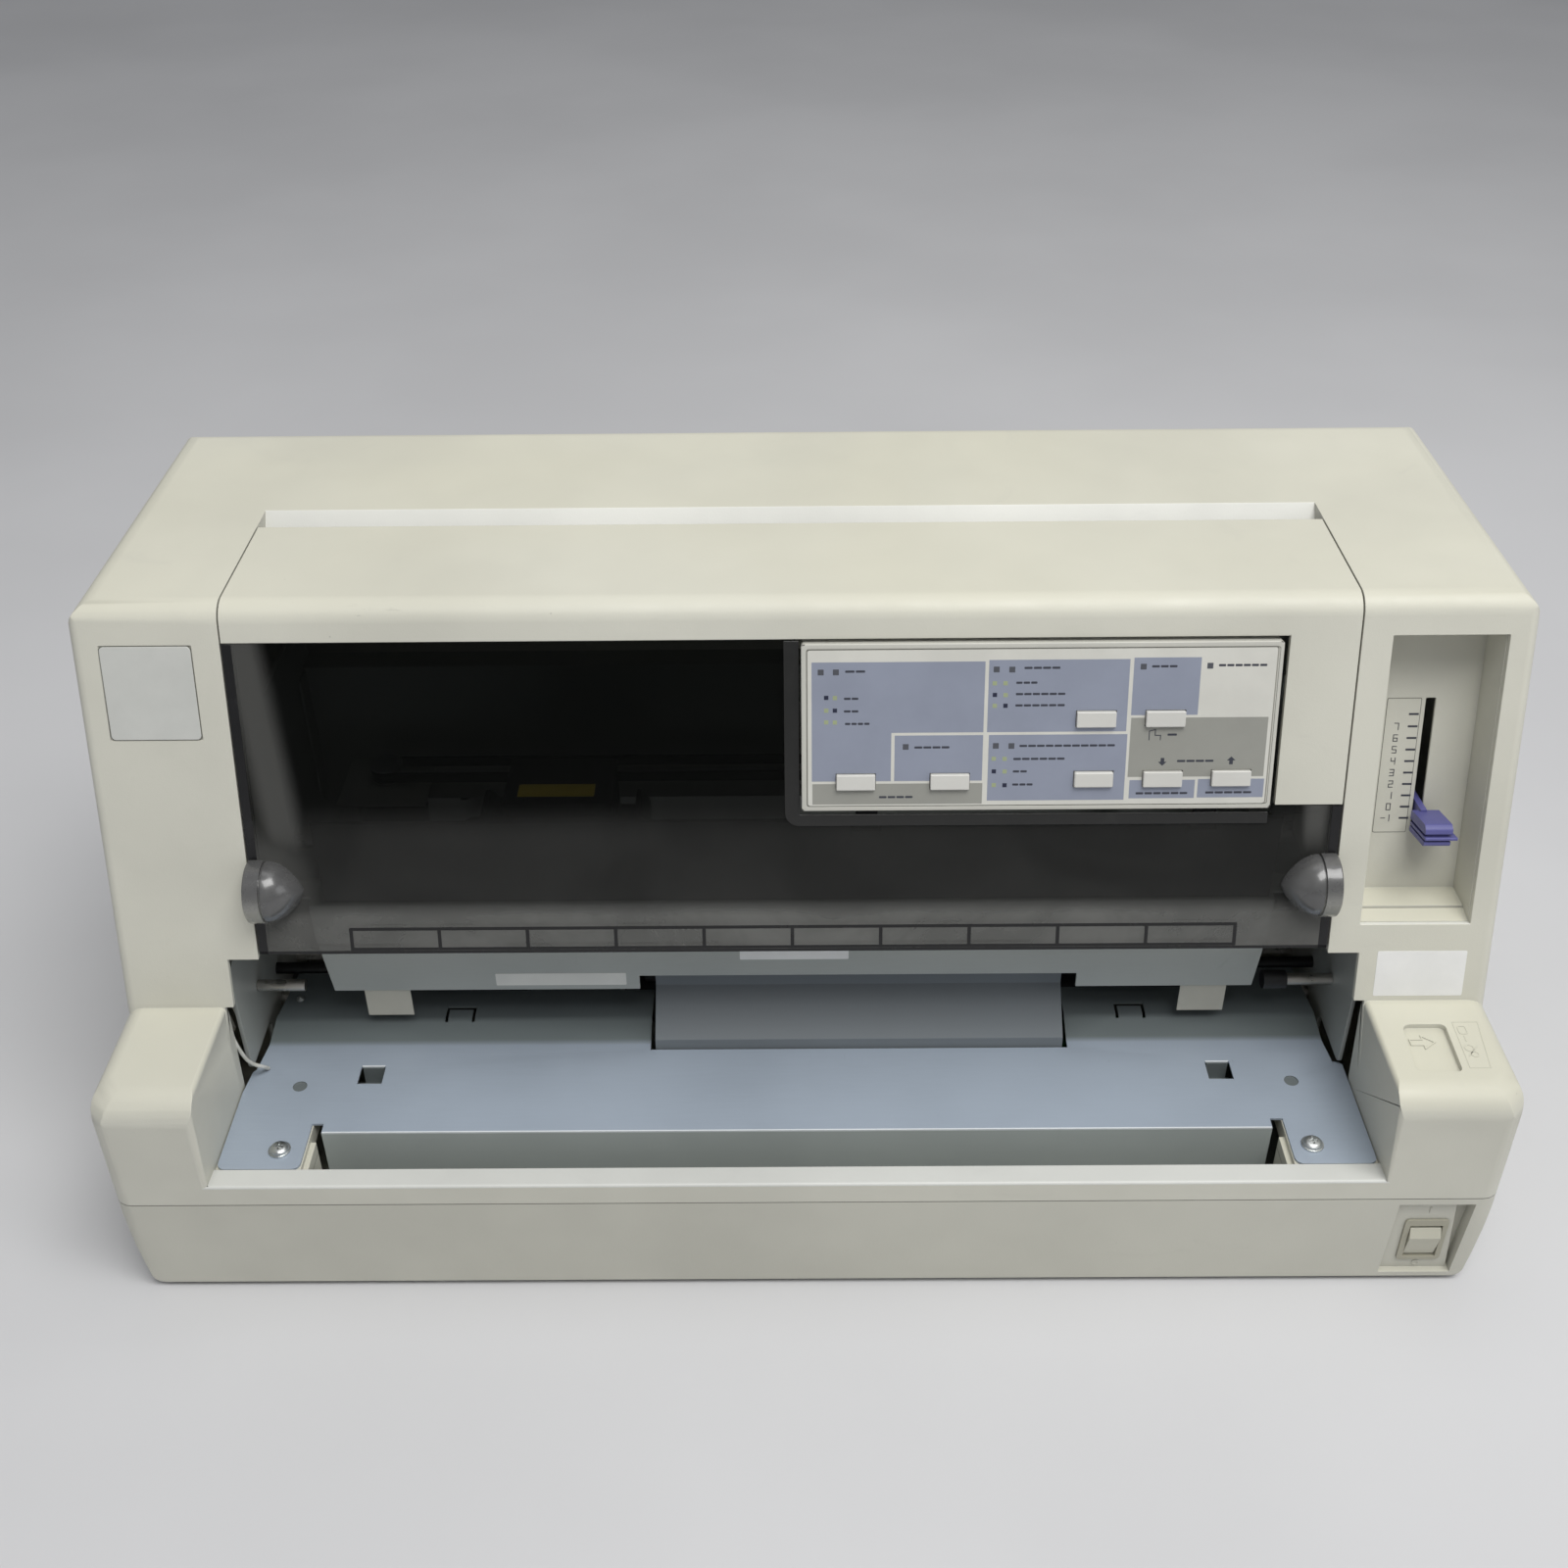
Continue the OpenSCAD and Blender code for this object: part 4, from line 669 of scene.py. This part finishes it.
# marks beside the power switch
io = Bag(PY(3.0))
io.prism(rr(289.3, 290.0, 41.2, 44.8, 0.3), -0.1, 0.35)
io.ring(disc(289.4, 6.4, 1.75), disc(289.4, 6.4, 1.15), -0.1, 0.35)
io.done("switch_marks", ["case_lower"], "root", bevel=0.1)

# window: glossy frame bar round the control panel, and the row of ribs above the lower edge
fb = Bag(FP)
q = []
for k in range(7):
    a = math.radians(180 + 90 * k / 6)
    q.append((-1.9 + 6.4 * math.cos(a), 96.4 + 6.4 * math.sin(a)))
lf = [(-8.3, 176.6)] + q + [(208.6, 90.0), (208.6, 95.6), (-1.6, 95.6), (-1.6, 176.6)]
fb.prism(lf, -0.3, 0.35)
fb.done("window_frame_bar", ["window_frame"], "cover", bevel=0.5, seg=3)
rb = Bag(FP)
rb.prism([(-209.7, 39.3), (199.2, 39.3), (199.2, 40.8), (-209.7, 40.8)], -0.4, -0.12)
rb.prism([(-209.7, 29.2), (199.2, 29.2), (199.2, 30.6), (-209.7, 30.6)], -0.4, -0.12)
for i in range(11):
    x = -209.2 + i * 40.78
    rb.prism([(x - 0.8, 29.2), (x + 0.8, 29.2), (x + 0.8, 40.4), (x - 0.8, 40.4)], -0.4, -0.1)
rb.prism([(-252.6, 27.6), (241.6, 27.6), (241.6, 29.0), (-252.6, 29.0)], -0.4, -0.12)
rb.prism([(-252.7, 27.6), (-248.6, 27.6), (-248.6, 44.8), (-252.7, 44.8)], -0.4, -0.12)
rb.prism([(-252.7, 75.2), (-248.6, 75.2), (-248.6, 176.6), (-252.7, 176.6)], -0.4, -0.12)
rb.prism([(237.6, 27.6), (241.7, 27.6), (241.7, 44.8), (237.6, 44.8)], -0.4, -0.12)
rb.prism([(237.6, 75.2), (241.7, 75.2), (241.7, 98.0), (237.6, 98.0)], -0.4, -0.12)
rb.done("window_ribs", ["window_bar"], "cover")

# earth lead from behind the ear to the paper table, and a rivet on the table
knots = [P(-277.0, 76.0, 93.0), P(-275.0, 71.5, 92.0), P(-273.2, 68.9, 89.8), P(-271.9, 69.2, 84.0), P(-270.4, 70.2, 78.0),
         P(-268.6, 71.6, 74.0), P(-266.4, 72.6, 71.6), P(-264.9, 74.5, 69.0), P(-264.0, 77.5, 65.05)]
pts = []
for k in range(len(knots) - 1):
    a, b = knots[k], knots[k + 1]
    a0, b1 = knots[max(k - 1, 0)], knots[min(k + 2, len(knots) - 1)]
    for t in range(4):
        u = t / 4
        pts.append(0.5 * (2 * a + (b - a0) * u + (2 * a0 - 5 * a + 4 * b - b1) * u * u + (3 * a - a0 - 3 * b + b1) * u ** 3))
pts.append(knots[-1])
cu = bpy.data.curves.new("earth_lead", "CURVE")
cu.dimensions = "3D"
cu.bevel_depth, cu.bevel_resolution, cu.use_fill_caps = 0.00095, 4, True
sp = cu.splines.new("POLY")
sp.points.add(len(pts) - 1)
for a, b in zip(sp.points, pts):
    a.co = (*b, 1)
el = bpy.data.objects.new("earth_lead", cu)
COLL.objects.link(el)
M["lead"] = rubber("lead", (190, 190, 182), 0.5)
cu.materials.append(M["lead"])
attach(el, "root")
# painted highlight: pale strips along the table's front bend and along the rear fold of each square hole
te = Bag(PZ(64.0))
te.prism([(-228.8, 35.0), (220.3, 35.0), (220.3, 35.75), (-228.8, 35.75)], -0.3, 0.05)
te.prism([(-228.8, 34.95), (220.3, 34.95), (220.3, 35.05), (-228.8, 35.05)], -0.8, 0.05)
for x in (-212.5, 203.0):
    # lanced tab folded down at the rear of each square hole, with a plate below it, both in dark grey as painted
    # shade of the hollow under the hole
    te.prism([(x - 5.2, 78.5), (x + 5.2, 78.5), (x + 5.2, 79.45), (x - 5.2, 79.45)], -11.0, -0.3, 1)
    te.prism([(x - 12.0 if x < 0 else x - 5.2, 66.0), (x + 5.2 if x < 0 else x + 12.0, 66.0), (x + 5.2 if x < 0 else x + 12.0, 78.5), (x - 12.0 if x < 0 else x - 5.2, 78.5)], -11.0, -10.2, 1)
    # painted highlight along the top of the fold
    te.prism([(x - 5.6, 79.3), (x + 5.6, 79.3), (x + 5.6, 80.1), (x - 5.6, 80.1)], -0.3, 0.12)
te.done("table_folds_and_highlights", ["table_edge", "hole_floor"], "root")
rv = Bag(PZ(70.0))
for k in range(4):
    r0 = 2.0 * math.cos(math.radians(22 * k))
    rv.prism(disc(-257.5, 122.4, r0, 20), 0.45 * k - 0.1, 0.45 * (k + 1))
rv.done("table_rivet", ["screw"], "root", bevel=0.1)

# dark finish on the panel's legs, other finishes on parts of a node
by_face("panel_housing", ["black_plastic"], lambda x, y, z: 1 if z < 209.5 and y > 96.5 else 0)


by_face("stub_shafts", ["black_plastic"], lambda x, y, z: 1 if 226 < x < 238.05 else 0)
# the front flange takes a paler copy of the table paint, which is painted light; the round hole floors take dark
# grey, which is painted shade
by_face("front_table", ["hole_floor", "flange"], lambda x, y, z: 2 if y < 36.3 and z < 63.2 and -230 < x < 222 else 1 if z < 63.9 and min(math.hypot(x + 246, y - 66), math.hypot(x - 236.5, y - 66)) < 3.6 and z > 62.9 else 0)
UPS = Vector((0, SL, CL))
LP = N["lever_panel"].data
LP.materials.append(M["case"])
for p in LP.polygons:
    c = p.center
    sv = (c.y * 1000 + DEPTH - 64.5) * SL + (c.z * 1000 - FOOT - 117) * CL
    if p.normal.dot(UPS) > 0.5 and sv < 47.5:
        p.material_index = 1


def window_pick(x, y, z):
    s = (y - 64.5) * SL + (z - 117) * CL
    d = -(y - 64.5) * CL + (z - 117) * SL
    return 1 if abs(s - 60) < 15.4 and (x < -228 or x > 217) and (d > -0.1 or math.hypot(s - 60, d - 0.4) < 15.2 and d > -0.15) else 0


by_face("cover_window", ["window_grip"], window_pick)
by_face("centre_guide", ["guide"], lambda x, y, z: 1)
# the slot wall behind the cover and a thin band across the right column take the paler plastic; the slot wall's
# extra brightness is painted light
by_face("upper_case", ["case_pale", "case_rim"], lambda x, y, z: 2 if 63.9 < z < 66 and y < 12.4 and -277.5 < x < 267.5 else 1 if 198.5 < y < 205.3 and z > 290 and -253.6 < x < 242.6 or 256 < x < 306.6 and 38.9 < (y - 64.5) * SL + (z - 117) * CL < 39.8 and z > 150 else 0)

# ------------------------------------------------------------------ stage, light, camera
bpy.ops.mesh.primitive_plane_add(size=14, location=(0, 2.0, 0))
floor = bpy.context.object
floor.name = "floor"
fm = Mat("floor")
fn = fm.noise(2.0, 4, 0.5)
fm.set(color=fm.mix(fm.ramp(fn, 0.3, 0.7), (0.60, 0.60, 0.61), (0.65, 0.65, 0.66)), rough=0.6)
floor.data.materials.append(fm.m)

w = bpy.data.worlds.new("studio")
SC.world = w
w.use_nodes = True
bg = w.node_tree.nodes["Background"]
bg.inputs["Color"].default_value = (0.94, 0.96, 1.0, 1)
bg.inputs["Strength"].default_value = 0.27


def area(name, loc, aim, size, power, color=(1, 1, 1)):
    li = bpy.data.lights.new(name, "AREA")
    li.shape = "RECTANGLE"
    li.size, li.size_y = size
    li.energy = power
    li.color = color
    o = bpy.data.objects.new(name, li)
    COLL.objects.link(o)
    o.location = loc
    o.rotation_euler = (Vector(aim) - Vector(loc)).to_track_quat("-Z", "Y").to_euler()
    return o


area("key_light", (0.52, -0.95, 2.5), (0, -0.05, 0.18), (1.8, 1.2), 52, (1.0, 0.995, 0.98))
area("top_light", (0.1, 0.5, 2.3), (0, 0.05, 0.2), (1.6, 1.2), 7, (1.0, 1.0, 1.0))
area("left_fill", (-1.9, -0.9, 1.0), (0, 0, 0.15), (1.0, 1.0), 0.6, (0.97, 0.98, 1.0))
area("right_fill", (1.9, -0.9, 1.0), (0, 0, 0.15), (1.0, 1.0), 4.5, (0.99, 0.99, 1.0))

cam = bpy.data.cameras.new("camera")
cam.sensor_width = 36
cam.sensor_fit = "HORIZONTAL"
cam.lens = 36 * 1800 / 1600
co = bpy.data.objects.new("camera", cam)
COLL.objects.link(co)
pitch, roll, yaw = math.radians(35.072), math.radians(-0.647), math.radians(0.440)
rz = Matrix.Rotation(yaw, 3, "Z")
fwd = rz @ Vector((0, math.cos(pitch), -math.sin(pitch)))
up = rz @ Vector((0, math.sin(pitch), math.cos(pitch)))
rgt = rz @ Vector((1, 0, 0))
R = math.cos(roll) * rgt + math.sin(roll) * up
U = -math.sin(roll) * rgt + math.cos(roll) * up
mw = Matrix((R, U, -fwd)).transposed().to_4x4()
mw.translation = P(-3.58, -553.0, 676.8)
co.matrix_world = mw
cam.clip_start, cam.clip_end = 0.02, 60
SC.camera = co
SC.view_settings.view_transform = "Standard"
SC.view_settings.look = "None"
